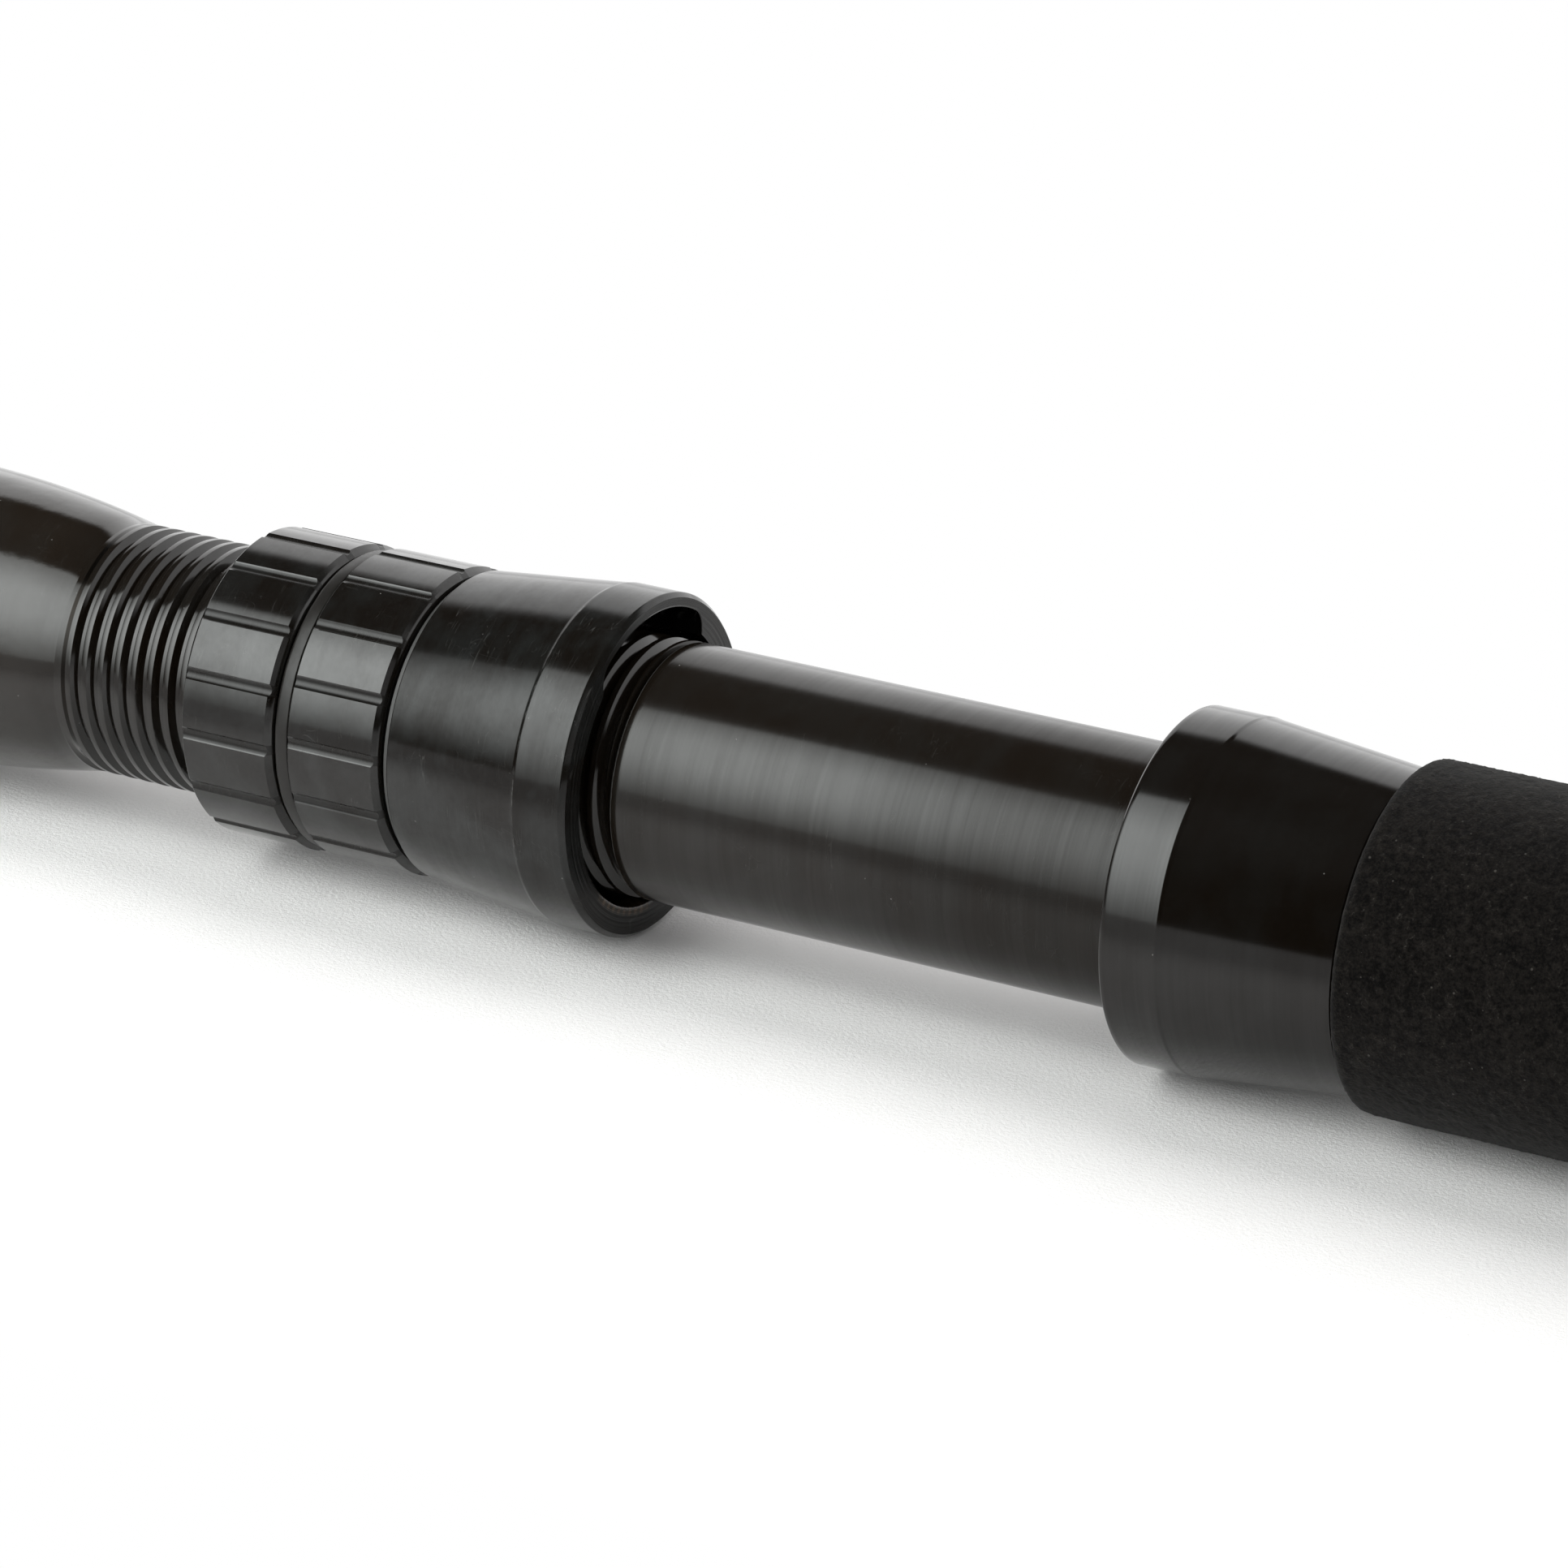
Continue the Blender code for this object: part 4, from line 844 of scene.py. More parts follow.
def make_nut(name, first_turn, sizes):
    """A lock nut: a land with fine rounded notches along it, a bevel ahead and a plain bore."""
    start, end = start_of(name), end_of(name)
    outer, bevel, bore, edge = 0.01935, 0.00086, 0.01595, sizes.edge
    half_width, depth = 0.00078, 0.00032
    notch_radius = (half_width ** 2 + depth ** 2) / (2 * depth)
    half, lip = half_width / outer, 1.06 * half_width / outer
    # One notch and the land after it, as (turn, dip, wear)
    section = [(-lip, 0.0, 0.0)]
    for step in range(-5, 6):
        dip = math.sqrt(notch_radius ** 2 - (half_width * step / 5) ** 2) - (notch_radius - depth)
        section.append((half * step / 5, max(dip, 0.0), 0.3 if abs(step) == 5 else -0.6))
    period = WHOLE_TURN / sizes.notches
    section += [(turn, 0.0, 0.0) for turn in evenly(lip, period - lip, 6)[:6]]
    around = [(math.radians(first_turn) + k * period + turn, dip, worn) for k in range(sizes.notches)
              for turn, dip, worn in section]
    # The outside from rear to front, as (station, largest radius, wear)
    caps = [(start, bore + 0.0002, 0.0), (start, outer - edge, 0.5),
            (start + edge * 0.4, outer - edge * 0.35, 0.7), (start + edge, outer, 0.4),
            (start + edge * 1.8, outer, 0.0)]
    caps += [(x, outer, 0.0) for x in evenly(start + edge, end - bevel - edge, 6)[1:6]]
    caps += [(end - bevel - 0.0001, outer, 0.0), (end - bevel, outer, 0.3),
             (end - bevel + 0.0001, outer - 0.0001, 0.1), (end - bevel * 0.5, outer - bevel * 0.5, 0.0),
             (end - 0.00005, outer - bevel + 0.00005, 0.1)]
    rings, wear = [], []
    for x, cap, worn in caps:
        on_bevel = x > end - bevel * 1.05
        ring = []
        for turn, dip, notch_worn in around:
            radius = min(cap, outer - dip)
            shift = cap - radius if on_bevel else 0.0
            ring.append(spot(min(x + shift, end - 0.00003), radius, turn))
            wear.append(max(worn, notch_worn) if radius > outer - 0.0001 else min(notch_worn, 0.0))
        rings.append(ring)
    for x, radius in ((end, outer - bevel - 0.0001), (end, bore + 0.0002), (end - 0.0002, bore),
                      (start + 0.0002, bore)):
        rings.append([spot(x, radius, turn) for turn, _, _ in around])
        wear += [0.0] * len(around)
    material = kept("nut_anodising", anodised, 0.11, 0.50, 0.7, 0.5, 0.12, 5.0)
    piece = new_piece(f"fine_{name}", *loft(rings), material, wear, 30.0)
    settle(piece, name, "black_anodised", name)


def ring_outline(node, bore, outer, edges, steps=4):
    """The profile of a plain ring, with the rounding of its bore's, rear and front edges."""
    start, end = start_of(node), end_of(node)
    in_bore, rear, front = edges
    return softened([(start, bore, in_bore), (start, outer, rear), (end, outer, front),
                     (end, bore, in_bore)], steps)


def make_rings():
    """The rubber ring between the nuts, and the washer that the front nut pushes."""

    def uneven(x, radius, turn):
        if radius < 0.0185:
            return 0.0
        lumps = noise.noise(Vector((math.cos(turn) * 9, math.sin(turn) * 9, x * 900)))
        return 0.00006 * lumps - 0.00003

    outline = ring_outline("nut_gasket", SLIDE_BORE, 0.0189, (0.0001, 0.00045, 0.00018))
    make_turned("nut_gasket", "nut_gasket", "black_rubber", outline, kept("ring_rubber", rubber_finish),
                144, 50.0, uneven)
    outline = ring_outline("thrust_washer", SLIDE_BORE, 0.0183, (0.00005, 0.00012, 0.00012), 3)
    make_turned("thrust_washer", "hood_carriage", "dark_nylon", outline, kept("washer_nylon", nylon_finish))


def pocket_reach(turn, bore):
    """Distance from the axis to a hood's inside at a turn: the pocket's outline, or the plain bore."""
    turn = abs((turn + math.pi) % WHOLE_TURN - math.pi)
    if turn >= math.asin(POCKET_HALF / bore):
        return bore
    corner_far = ROOF_RADIUS - POCKET_CORNER
    corner_turn = math.asin((POCKET_HALF - POCKET_CORNER) / corner_far)
    if turn <= corner_turn:
        return ROOF_RADIUS
    lean = turn - corner_turn
    inside = POCKET_CORNER ** 2 - (corner_far * math.sin(lean)) ** 2
    flank_turn = math.atan2(POCKET_HALF, corner_far * math.cos(corner_turn))
    if inside > 0 and turn < flank_turn:
        return corner_far * math.cos(lean) + math.sqrt(inside)
    return POCKET_HALF / math.sin(turn)


def hood_turns():
    """Turns round a hood, closer together over its pocket and at the pocket's corners."""
    fine = {round(0.75 * k, 4) for k in range(-68, 69)}
    coarse = {round(51.0 + 1.5 * k, 4) for k in range(1, 172)}
    keys = {side * value for side in (-1, 1) for value in (30.9, 39.03, 41.37, 45.32)}
    close = {value for value in fine | coarse if all(abs(value - key) > 0.3 for key in keys)}
    return [math.radians(value) for value in sorted(close | keys) if value < 308.9]


def hood_outside(length, tail_radius, band_end, taper_start, bevel, worn):
    """The outside of a hood as (depth from its mouth, radius, wear): edge, band, shoulder and taper."""
    outside = [(bevel * depth, HOOD_RADIUS - bevel * (1 - rise), 0.1)
               for depth, rise in ((0, 0), (0.15, 0.11), (0.96, 0.89), (1.15, 1))]
    band = evenly(0.00075, band_end - 0.00015, 4)[:4] + [band_end - 0.0002, band_end - 0.00008]
    outside += [(depth, HOOD_RADIUS, 0.0) for depth in band]
    outside += [(band_end, HOOD_RADIUS - 0.00001, worn), (band_end + 0.00014, HOOD_RADIUS - 0.00004, worn)]
    shoulder = HOOD_RADIUS - 0.00009
    outside += [(taper_start + (length - 0.0002 - taper_start) * share,
                 shoulder + (tail_radius - shoulder) * share, 0.0)
                for share in (0.0, 0.008, *evenly(0, 1, 8)[1:])]
    return outside + [(length, tail_radius - 0.0002, 0.1)]


def make_hood(name, body, mouth, way, outside, bore_end, material):
    """A hood with its mouth at a station, and its body behind it.

    The outside and the end of the bore are lists of (depth from the mouth, radius, wear).
    """
    turns = hood_turns()
    rings, wear = [], []

    def add(depth, worn, reach):
        """A ring whose radius is a function of the turn."""
        rings.append([spot(mouth - way * depth, reach(turn), turn) for turn in turns])
        wear.extend([worn] * len(turns))

    for depth, radius, worn in (*outside, *bore_end, (POCKET_DEPTH + 0.00002, SLIDE_BORE, 0.0)):
        add(depth, worn, lambda turn: radius)
    # The inside with the pocket in it, as (depth, bore, distance further out, wear)
    lip = 0.00022
    steps = [(POCKET_DEPTH, SLIDE_BORE, 0.0, 0.0), (0.0101, SLIDE_BORE, 0.0, 0.0)]
    steps += [(depth, MOUTH_BORE, 0.0, 0.0) for depth in (0.0100, 0.0075, 0.005, 0.0025, 0.001)]
    steps += [(lip, MOUTH_BORE, 0.0, 0.1), (0.00006, MOUTH_BORE, 0.00006, 0.35), (0.0, MOUTH_BORE, lip, 0.1)]
    for depth, bore, out, worn in steps:
        add(depth, worn, lambda turn: pocket_reach(turn, bore) + out)
    rim = outside[0][1] - 0.00004
    for share in (0.05, 0.35, 0.65, 0.95):
        add(0.0, -1.0, lambda turn: (pocket_reach(turn, MOUTH_BORE) + lip) * (1 - share) + rim * share)
    piece = new_piece(f"fine_{name}", *loft(rings), material, wear, 32.0)
    settle(piece, body, "black_anodised", name)


def make_hoods():
    """Both hoods: the one that slides with the front nut, and the one fixed under the grip."""
    tail, mouth = start_of("sliding_hood"), end_of("sliding_hood")
    length = mouth - tail
    outside = hood_outside(length, 0.01925, 0.0070, 0.0073, 0.00054, 0.51)
    bore_end = [(length, SLIDE_BORE + 0.0003, 0.0), (length - 0.0003, SLIDE_BORE, 0.0)]
    make_hood("sliding_hood", "sliding_hood", mouth, 1, outside, bore_end,
              kept("hood_anodising", hood_finish))
    mouth, tail = start_of("fixed_hood"), end_of("fixed_hood")
    length = tail - mouth
    outside = hood_outside(length, 0.01905, 0.0071, 0.0074, 0.0002, 0.0)
    end_wall, hole = 0.0017, BLANK_REAR_RADIUS + 0.0003
    bore_end = [(length, hole, 0.0), (length - end_wall, hole, 0.0), (length - end_wall, SLIDE_BORE, 0.0)]
    make_hood("fixed_hood", "rod", mouth, -1, outside, bore_end,
              kept("fixed_hood_anodising", anodised, 0.12, 0.34, 0.25, 1.5, 0.03, 3.0, 1.0, 0.1))


def blank_radius(station):
    """Outer radius of the blank: straight as far as the grip, then a long taper."""
    share = (station - GRIP_START) / (solid_high.x - solid_low.x - GRIP_START)
    return BLANK_REAR_RADIUS + (BLANK_TIP_RADIUS - BLANK_REAR_RADIUS) * max(share, 0.0)


def make_grip():
    """The foam foregrip: a long swell, a rounded nose and a soft ground surface."""
    start, end = start_of("foregrip"), end_of("foregrip")
    length = end - start
    swell = length * 0.68
    rear, largest, nose = 0.0209, axis_height - 0.0001, 0.0155
    edge, nose_edge, hole_gap = 0.0013, 0.0004, 0.0004
    outline = [(start, blank_radius(start) + hole_gap, 0.0), (start, 0.016, 0.0), (start, rear - edge, 0.0)]
    outline += [(start + edge * (1 - math.cos(angle)), rear - edge * (1 - math.sin(angle)), 0.0)
                for angle in evenly(0, math.pi / 2, 5)[1:]]
    # Rings lie closest together beside the hood, where the camera is near
    close, wide = 0.029, 0.078
    lengths = evenly(0.0014, close, 98)[1:] + evenly(close, wide, 60)[1:] + evenly(wide, swell, 40)[1:]
    outline += [(start + x, rear + (largest - rear) * x / swell, 0.0) for x in lengths]
    outline += [(start + swell + (length - swell - nose_edge) * math.sin(angle),
                 largest - (largest - nose - nose_edge) * (1 - math.cos(angle)), 0.0)
                for angle in evenly(0, math.pi / 2, 40)[1:]]
    outline += [(end, nose - 0.0006, 0.0), (end, blank_radius(end) + hole_gap, 0.0)]

    def uneven(x, radius, turn):
        if radius < 0.0145:
            return 0.0
        place = Vector((x * 260, math.cos(turn) * 5, math.sin(turn) * 5))
        # Fuzz is as fine as the mesh can hold
        fuzz, fineness = (0.00012, 1.0) if x < start + close else (0.00003, 0.2)
        skin = Vector((x * 2300, math.cos(turn) * 46, math.sin(turn) * 46)) * fineness
        return (0.00006 * (noise.noise(place) + 0.5 * noise.noise(place * 4.3))
                + fuzz * noise.noise(skin) - 0.0002)

    piece = make_turned("foregrip", "rod", "black_foam", outline, kept("grip_foam", foam_finish),
                        300, 60.0, uneven)


def make_nock():
    """Gimbal nock with crossed slots, its rubber bumper and its cross pin."""
    metal = kept("nock_anodising", anodised, 0.16, 0.50, 0.4, 0.8, 0.1)
    seat, spigot, end, sides = BUTT_RADIUS - 0.00185, BUTT_RADIUS - 0.0033, end_of("gimbal_nock"), 144
    profile = [(0.0, BUTT_RADIUS - 0.0012), (0.0012, BUTT_RADIUS), (0.0117, BUTT_RADIUS), (0.0117, seat),
               (0.0217, seat), (0.0217, spigot), (end, spigot)]
    points, faces = loft([[spot(x, r, WHOLE_TURN * k / sides) for k in range(sides)] for x, r in profile])
    faces = faces[:-sides] + [tuple(range(sides)), tuple(range(len(points) - sides, len(points)))]
    piece = new_piece("fine_gimbal_nock", points, faces, metal)
    slot_depth, slot_width, pin_hole, reach = 0.010, 0.0066, 0.0028, 0.08
    cutters = []
    for size in ((2 * slot_depth, reach, slot_width), (2 * slot_depth, slot_width, reach), None):
        bm = bmesh.new()
        if size:
            place = Matrix.Translation(spot(0.0, 0.0, 0.0)) @ Matrix.Diagonal((*size, 1.0))
            bmesh.ops.create_cube(bm, size=1.0, matrix=place)
        else:
            place = Matrix.Translation(middle_of("gimbal_pin")) @ Matrix.Rotation(math.pi / 2, 4, "X")
            bmesh.ops.create_cone(bm, cap_ends=True, segments=32, radius1=pin_hole, radius2=pin_hole,
                                  depth=reach, matrix=place)
        cutters.append(placed("cutter", mesh_of("cutter", bm)))
        modifier = piece.modifiers.new("cut", "BOOLEAN")
        modifier.operation, modifier.object = "DIFFERENCE", cutters[-1]
    round_edges(piece, 0.0004, metal)
    for cutter in cutters:
        bpy.data.objects.remove(cutter)
    settle(piece, "rod", "black_anodised", "gimbal_nock")
    low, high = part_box("gimbal_bumper")
    outline = ring_outline("gimbal_bumper", 0.0176, (high.y - low.y) / 2, (0.0002, 0.0016, 0.0016), 6)
    make_turned("gimbal_bumper", "rod", "black_rubber", outline, kept("bumper_rubber", rubber_finish),
                96, 60.0)
    pin = mirrored([(-0.01873, 0), (-0.01873, 0.0021), (-0.0184, 0.00245)])
    set_solids("fine_gimbal_pin", "rod", "stainless_steel", pin, 32, kept("pin_steel", steel_finish),
               ["gimbal_pin"], [1.0])


# Blank, windings and guides


def make_blank():
    """The long blank, and the finish of the two arbors that centre its rear end in the barrel."""
    start, end = start_of("blank"), end_of("blank")
    outline = [(start, BLANK_REAR_RADIUS - 0.0018, 0.0), (start, BLANK_REAR_RADIUS, 0.0)]
    outline += [(x, blank_radius(x), 0.0) for x in evenly(GRIP_START, end, 80)]
    outline.append((end, blank_radius(end) - 0.0012, 0.0))
    make_turned("blank", "rod", "dark_blank", outline, kept("blank_glass", blank_finish), 48)
    for name in ("rear_arbor", "front_arbor"):
        frame["nodes"][name].material_slots[0].material = kept("arbor_foam_cut", foam_finish, "arbor")


def make_check():
    """The ring that ends the grip, and the winding ahead of it."""
    start, end = start_of("winding_check"), end_of("winding_check")
    gap = 0.0003
    outline = softened([(start, blank_radius(start) + gap, 0), (start, 0.0155, 0.0003),
                        (start + 0.0021, 0.0155, 0.0005), (end, 0.0118, 0.0005),
                        (end, blank_radius(end) + gap, 0.0001)])
    make_turned("winding_check", "rod", "black_anodised", outline,
                kept("check_anodising", anodised, 0.14, 0.50, 0.3, 1.0, 0.05), 96, 40.0)
    start, end = start_of("foregrip_winding"), end_of("foregrip_winding")
    outline = [(start, blank_radius(start) + gap, 0.0)]
    for share in evenly(0, 1, 12):
        x = start + (end - start) * share
        swell = 0.0007 * min(1.0, math.sqrt(max(1 - abs(2 * share - 1) ** 8, 0.0)) + 0.25)
        outline.append((x, blank_radius(x) + gap + swell, 0.0))
    outline.append((end, blank_radius(end) + gap, 0.0))
    make_turned("foregrip_winding", "rod", "black_winding", outline, kept("winding_thread", winding_finish),
                64, 60.0)


def wrapped_outline(radius, half_width, top):
    """Points (turn, reach) round a bar and the flat foot on it, as a tight winding goes."""
    foot_turn = math.atan2(half_width, top)
    touch_turn = foot_turn + math.acos(min(radius / math.hypot(half_width, top), 1.0))
    turns = evenly(-foot_turn, foot_turn, 6)[:-1] + evenly(foot_turn, touch_turn, 4)
    turns += evenly(touch_turn, WHOLE_TURN - touch_turn, 36)[1:]
    turns += evenly(WHOLE_TURN - touch_turn, WHOLE_TURN - foot_turn, 4)[1:-1]
    points = []
    for turn in turns:
        off = min(turn % WHOLE_TURN, -turn % WHOLE_TURN)
        if off < foot_turn:
            reach = top / math.cos(off)
        elif off < touch_turn:
            reach = radius / math.cos(touch_turn - off)
        else:
            reach = radius
        points.append((turn, reach))
    return points


def make_guide_winding(name, heel, toe, end, half_width, height):
    """Thread bound over a guide's foot, drawn in to the bare blank past its toe."""
    stations = evenly(heel, toe, 8) + evenly(toe, end, 6)[1:]
    rings = []
    for lift, way, rounding in ((0.001, 1, 0.00025), (0.0003, -1, 0.0)):
        for x in stations[::way]:
            radius = blank_radius(x) + lift
            share = max((x - toe) / (end - toe), 0.0)
            drawn = share * share * (3 - 2 * share)
            at_ends = sum(max(0.0, 1 - abs(x - edge) / 0.0006) for edge in (heel, end))
            rings.append([spot(x, reach + (radius - reach) * drawn - rounding * at_ends, turn)
                          for turn, reach in wrapped_outline(radius, half_width + lift, radius + height)])
    return new_piece(name, *loft(rings), kept("winding_thread", winding_finish), None, 60.0)


def scale_of(prefix):
    """A guide's size against the first one's, from the width of its roller."""
    low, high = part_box(f"{prefix}_roller")
    return (high.y - low.y) / 0.012


def make_fittings():
    """Rollers, bushings, axle screws and line keepers of the guides and the tip-top."""
    prefixes = [f"guide_{k + 1}" for k in range(GUIDE_COUNT)] + ["tip"]
    scales = [scale_of(prefix) for prefix in prefixes]
    cheek = 0.0077
    head, rivet = cheek + 0.0012, cheek + 0.0009
    screw = [(-head, 0), (-head, 0.0016), (-head + 0.00015, 0.0019), (-head + 0.0003, 0.0030),
             (-cheek - 0.0002, 0.0032), (-cheek, 0.0032), (-cheek, 0.0015)]
    keeper = [(-rivet, 0), (-rivet, 0.0009), (-rivet + 0.0004, 0.0017), (-cheek, 0.0020), (-cheek, 0.0011)]
    sleeve = [(-0.006, 0.0018), (-0.006, 0.0024), (-0.0059, 0.0025)]
    steel = kept("fitting_steel", steel_finish)
    bronze = kept("bushing_bronze", steel_finish, "bronze", 0.42)
    for kind, profile, material, slot in (("axle_screw", screw, steel, "stainless_steel"),
                                          ("keeper", keeper, steel, "stainless_steel"),
                                          ("bushing", sleeve, bronze, "sintered_bronze")):
        set_solids(f"fine_{kind}s", "rod", slot, mirrored(profile), 32, material,
                   [f"{prefix}_{kind}" for prefix in prefixes], scales)
    rim = [(-0.0060, 0.0029), (-0.0060, 0.0055), (-0.0057, 0.0058), (-0.0050, 0.0058), (-0.0047, 0.0056)]
    waist = [(y, 0.0042 + 0.0013 * (abs(y) / 0.0045) ** 2.6) for y in evenly(-0.0045, 0.0045, 10)]
    roller = rim + waist + mirrored(rim)[len(rim):]
    polished = kept("roller_polish", steel_finish, "steel", 0.16, (500, 7000, 500))
    for prefix, scale in zip(prefixes, scales):
        node = f"{prefix}_roller"
        set_solids(f"fine_{node}", node, "roller_steel", roller, 64, polished, [node], [scale])


def make_frame(name, width, material):
    """A guide's frame: the solid's own form with its edges rounded."""
    node = f"{name}_frame"
    bm = bmesh.new()
    bm.from_mesh(frame["nodes"][node].data)
    bmesh.ops.remove_doubles(bm, verts=bm.verts, dist=0.000002)
    bmesh.ops.dissolve_limit(bm, angle_limit=math.radians(1), verts=bm.verts, edges=bm.edges)
    bmesh.ops.recalc_face_normals(bm, faces=bm.faces)
    piece = placed(f"fine_{node}", mesh_of(f"fine_{node}", bm))
    round_edges(piece, width, material)
    settle(piece, "rod", "stainless_steel", node)


def make_guides():
    """The frames of the guides and the tip-top, and the windings that bind the guides' feet."""
    steel = kept("frame_steel", steel_finish, "steel", 0.25, (2600, 900, 900))
    for k in range(GUIDE_COUNT):
        name = f"guide_{k + 1}"
        make_frame(name, 0.00025, steel)
        size = scale_of(name)
        for label, way in (("rear", -1), ("front", 1)):
            node = f"{name}_{label}_winding"
            near, far = (start_of(node), end_of(node))[::way]
            toe = far - way * 0.0055 * size
            made = make_guide_winding(f"fine_{node}", near, toe, far, 0.0032 * size, 0.0014 * size)
            settle(made, "rod", "black_winding", node)
    make_frame("tip", 0.0002, steel)


# Stage


def add_lamp(name, span, lifts, distance, level, glow=None, in_gloss=True):
    """A soft rectangular lamp that faces the rod's axis and that the camera doesn't see.

    It reaches over a span along X, and between two lifts: angles above level on the camera's side.
    The glow is a function that makes its brightness from a plan, the place along X and the lift.
    """
    low, high = (math.radians(lift) for lift in lifts)
    lift = (low + high) / 2
    light = bpy.data.lights.new(name, "AREA")
    light.shape, light.size = "RECTANGLE", span[1] - span[0]
    light.size_y = 2 * distance * math.tan((high - low) / 2)
    light.energy = level * math.pi * light.size * light.size_y
    light.color = (1, 1, 1) if glow else (1.0, 0.985, 0.985)
    if glow:
        light.use_nodes = True
        plan = Plan(light.node_tree)
        place = plan.node("ShaderNodeSeparateXYZ", {}, {0: plan.node("ShaderNodeNewGeometry")})
        turned = plan.maths("ARCTAN2", place.out("Z") - axis_height, 0.0 - place.out("Y"))
        shine = plan.node("ShaderNodeEmission", {}, {"Color": (0.965, 1, 0.985, 1),
                                                     "Strength": glow(plan, place, turned * math.degrees(1))})
        plan.node("ShaderNodeOutputLight", {}, {"Surface": shine})
    lamp = placed(name, light)
    lamp.location = ((span[0] + span[1]) / 2, -distance * math.cos(lift),
                     axis_height + distance * math.sin(lift))
    lamp.rotation_euler = (math.pi / 2 - lift, 0, 0)
    lamp.visible_camera = False
    lamp.visible_glossy = in_gloss


def softbox_glow(plan, along, lift):
    """Brightness of the softbox: bright above its middle, and fading down and to both ends."""
    ends = plan.rise(along, -0.60, -0.655) * (0.1 + plan.rise(along, -1.30, -0.92) * 0.9)
    tilt = lift + 0.8 + plan.rise(along, -0.87, -0.96) * 3.6
    upper = plan.rise(tilt, 79.5, 76.5) * (1.0 - plan.rise(lift, 50.0, 80.0) * 0.55)
    return ends * upper * (0.17 + plan.rise(lift, -10.0, 42.0) * 0.83)


def make_camera(studio):
    """A camera at the photograph's viewpoint, found from the outlines of the seat."""
    camera = bpy.data.cameras.new("camera")
    camera.lens, camera.sensor_width = studio.lens, 36.0
    camera.clip_start, camera.clip_end = 0.01, 500.0
    right = Vector((0.86937, 0.49417, 0.0))
    up = Vector((-0.19545, 0.34384, 0.91846))
    back = Vector((0.45387, -0.79848, 0.39552))
    turned = Matrix((right, up, back)).transposed()
    seen = placed("camera", camera)
    seen.matrix_world = Matrix.Translation((-0.0658, -0.6248, 0.3323)) @ turned.to_4x4()
    bpy.context.scene.camera = seen


def make_floor(studio):
    """A wide sheet of paper under the rod."""
    bm = bmesh.new()
    bmesh.ops.create_grid(bm, x_segments=8, y_segments=8, size=studio.reach)
    floor = placed("floor", mesh_of("floor", bm))
    floor.data.materials.append(paper_finish("paper"))
    floor.location.z = solid_low.z - 0.00005


def make_surroundings(studio):
    """White surroundings behind the rod in gloss, a dark room above and in front, and even light."""
    world = bpy.data.worlds.new("studio")
    world.use_nodes = True
    plan = Plan(world.node_tree)
    towards = plan.node("ShaderNodeTexCoord", {}, {}, "Generated")
    side = plan.node("ShaderNodeSeparateXYZ", {}, {0: towards}, "Y")
    seen = plan.light_path("Is Camera Ray")
    gloss = plan.light_path("Is Glossy Ray", "Is Transmission Ray")
    behind = plan.rise(side, -0.10, 0.10) * plan.rise(side.out("Z"), 0.69, 0.61)
    ceiling = plan.rise(side.out("Z"), 0.6, 0.9) * gloss * 0.09
    level = behind * (1.0 + gloss * 0.5) + (1.0 - gloss) * studio.ambient + ceiling
    level = seen + (1.0 - seen) * level
    glow = plan.node("ShaderNodeBackground", {}, {"Color": (1, 1, 1, 1), "Strength": level})
    plan.node("ShaderNodeOutputWorld", {}, {"Surface": glow})
    bpy.context.scene.world = world


def make_stage(studio):
    """Camera, floor, lamps and surroundings."""
    bpy.context.scene.view_settings.view_transform = "Standard"
    make_camera(studio)
    make_floor(studio)
    add_lamp("softbox", (-1.35, -0.58), (0, 80), 0.75, studio.softbox, softbox_glow)
    add_lamp("far_softbox", (0.75, 1.7), (14, 70), 1.2, studio.far_softbox)
    add_lamp("back_panel", (-1.6, 1.6), (92, 146), 1.6, studio.back, None, False)
    add_lamp("fill", (-1.5, -0.3), (12, 60), 1.1, studio.fill, None, False)
    make_surroundings(studio)


# Operators


class ROD_OT_stage(bpy.types.Operator):
    """Set up the camera, the floor and the lamps"""

    bl_idname = "rod.stage"
    bl_label = "Stage"

    def execute(self, context):
        make_stage(context.scene.rod_studio)
        return {"FINISHED"}


class ROD_OT_butt_tube(bpy.types.Operator):
    """Build the butt tube with the seat's thread"""

    bl_idname = "rod.butt_tube"
    bl_label = "Butt Tube"

    def execute(self, context):
        make_butt_tube(context.scene.rod_seat)
        return {"FINISHED"}


class ROD_OT_gimbal(bpy.types.Operator):
    """Build the gimbal nock, its bumper and its pin"""

    bl_idname = "rod.gimbal"
    bl_label = "Gimbal Nock"

    def execute(self, context):
        make_nock()
        return {"FINISHED"}


class ROD_OT_lock_nuts(bpy.types.Operator):
    """Build both lock nuts with their notches"""

    bl_idname = "rod.lock_nuts"
    bl_label = "Lock Nuts"

    def execute(self, context):
        make_nut("rear_lock_nut", 67.6, context.scene.rod_seat)
        make_nut("front_lock_nut", 62.1, context.scene.rod_seat)
        return {"FINISHED"}


class ROD_OT_rings(bpy.types.Operator):
    """Build the ring between the nuts and the washer"""

    bl_idname = "rod.rings"
    bl_label = "Ring and Washer"

    def execute(self, context):
        make_rings()
        return {"FINISHED"}


class ROD_OT_hoods(bpy.types.Operator):
    """Build the sliding hood and the fixed hood"""

    bl_idname = "rod.hoods"
    bl_label = "Hoods"

    def execute(self, context):
        make_hoods()
        return {"FINISHED"}


class ROD_OT_grip(bpy.types.Operator):
    """Build the foam foregrip"""

    bl_idname = "rod.grip"
    bl_label = "Foregrip"

    def execute(self, context):
        make_grip()
        return {"FINISHED"}


class ROD_OT_blank(bpy.types.Operator):
    """Build the blank and finish its arbors"""

    bl_idname = "rod.blank"
    bl_label = "Blank"

    def execute(self, context):
        make_blank()
        return {"FINISHED"}


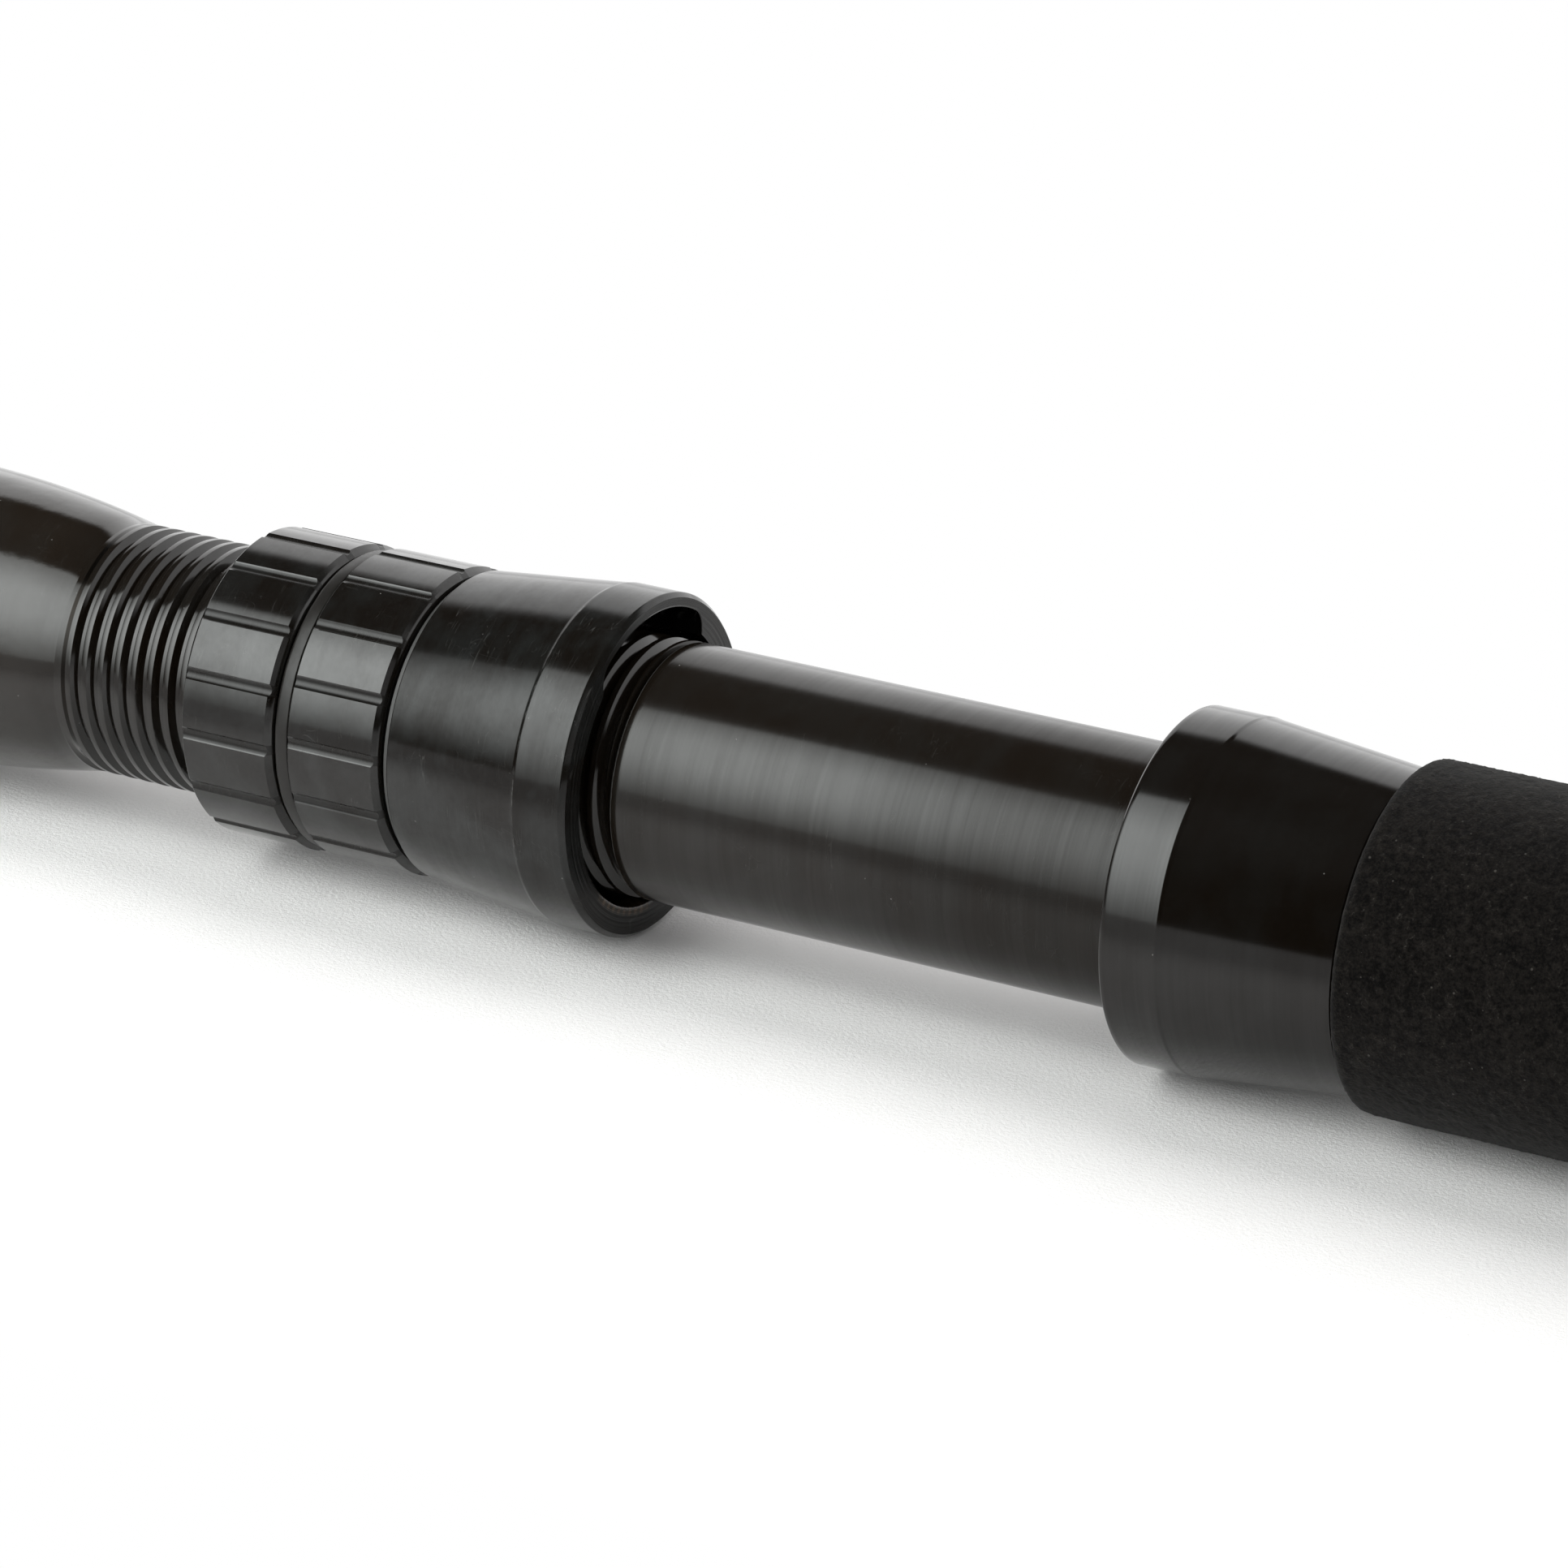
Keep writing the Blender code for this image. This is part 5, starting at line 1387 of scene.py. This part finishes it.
class ROD_OT_check(bpy.types.Operator):
    """Build the winding check and the winding ahead of it"""

    bl_idname = "rod.check"
    bl_label = "Winding Check"

    def execute(self, context):
        make_check()
        return {"FINISHED"}


class ROD_OT_guides(bpy.types.Operator):
    """Build the guides' frames and windings"""

    bl_idname = "rod.guides"
    bl_label = "Guide Frames"

    def execute(self, context):
        make_guides()
        return {"FINISHED"}


class ROD_OT_fittings(bpy.types.Operator):
    """Build the rollers, bushings, screws and keepers"""

    bl_idname = "rod.fittings"
    bl_label = "Rollers and Pins"

    def execute(self, context):
        make_fittings()
        return {"FINISHED"}


OPERATORS = (ROD_OT_stage, ROD_OT_butt_tube, ROD_OT_gimbal, ROD_OT_lock_nuts, ROD_OT_rings, ROD_OT_hoods,
             ROD_OT_grip, ROD_OT_blank, ROD_OT_check, ROD_OT_guides, ROD_OT_fittings)
GROUPS = (("rod_seat", SeatSizes), ("rod_colours", FinishColours), ("rod_studio", StudioSizes))


class ROD_PT_panel(bpy.types.Panel):
    """Lists the pieces of the rod and their sizes"""

    bl_label = "Fishing Rod"
    bl_idname = "ROD_PT_panel"
    bl_space_type = "VIEW_3D"
    bl_region_type = "UI"
    bl_category = "Rod"

    def draw(self, context):
        for name, group in GROUPS:
            box = self.layout.box()
            values = getattr(context.scene, name)
            for key in group.__annotations__:
                box.prop(values, key)
        for operator in OPERATORS:
            self.layout.operator(operator.bl_idname)


def register():
    for _, group in GROUPS:
        bpy.utils.register_class(group)
    for kind in (*OPERATORS, ROD_PT_panel):
        bpy.utils.register_class(kind)
    for name, group in GROUPS:
        setattr(bpy.types.Scene, name, PointerProperty(type=group))


def unregister():
    for name, _ in GROUPS:
        delattr(bpy.types.Scene, name)
    for kind in (ROD_PT_panel, *reversed(OPERATORS)):
        bpy.utils.unregister_class(kind)
    for _, group in reversed(GROUPS):
        bpy.utils.unregister_class(group)


def main():
    register()
    for operator in OPERATORS:
        group, name = operator.bl_idname.split(".")
        getattr(getattr(bpy.ops, group), name)()


if __name__ == "__main__":
    main()
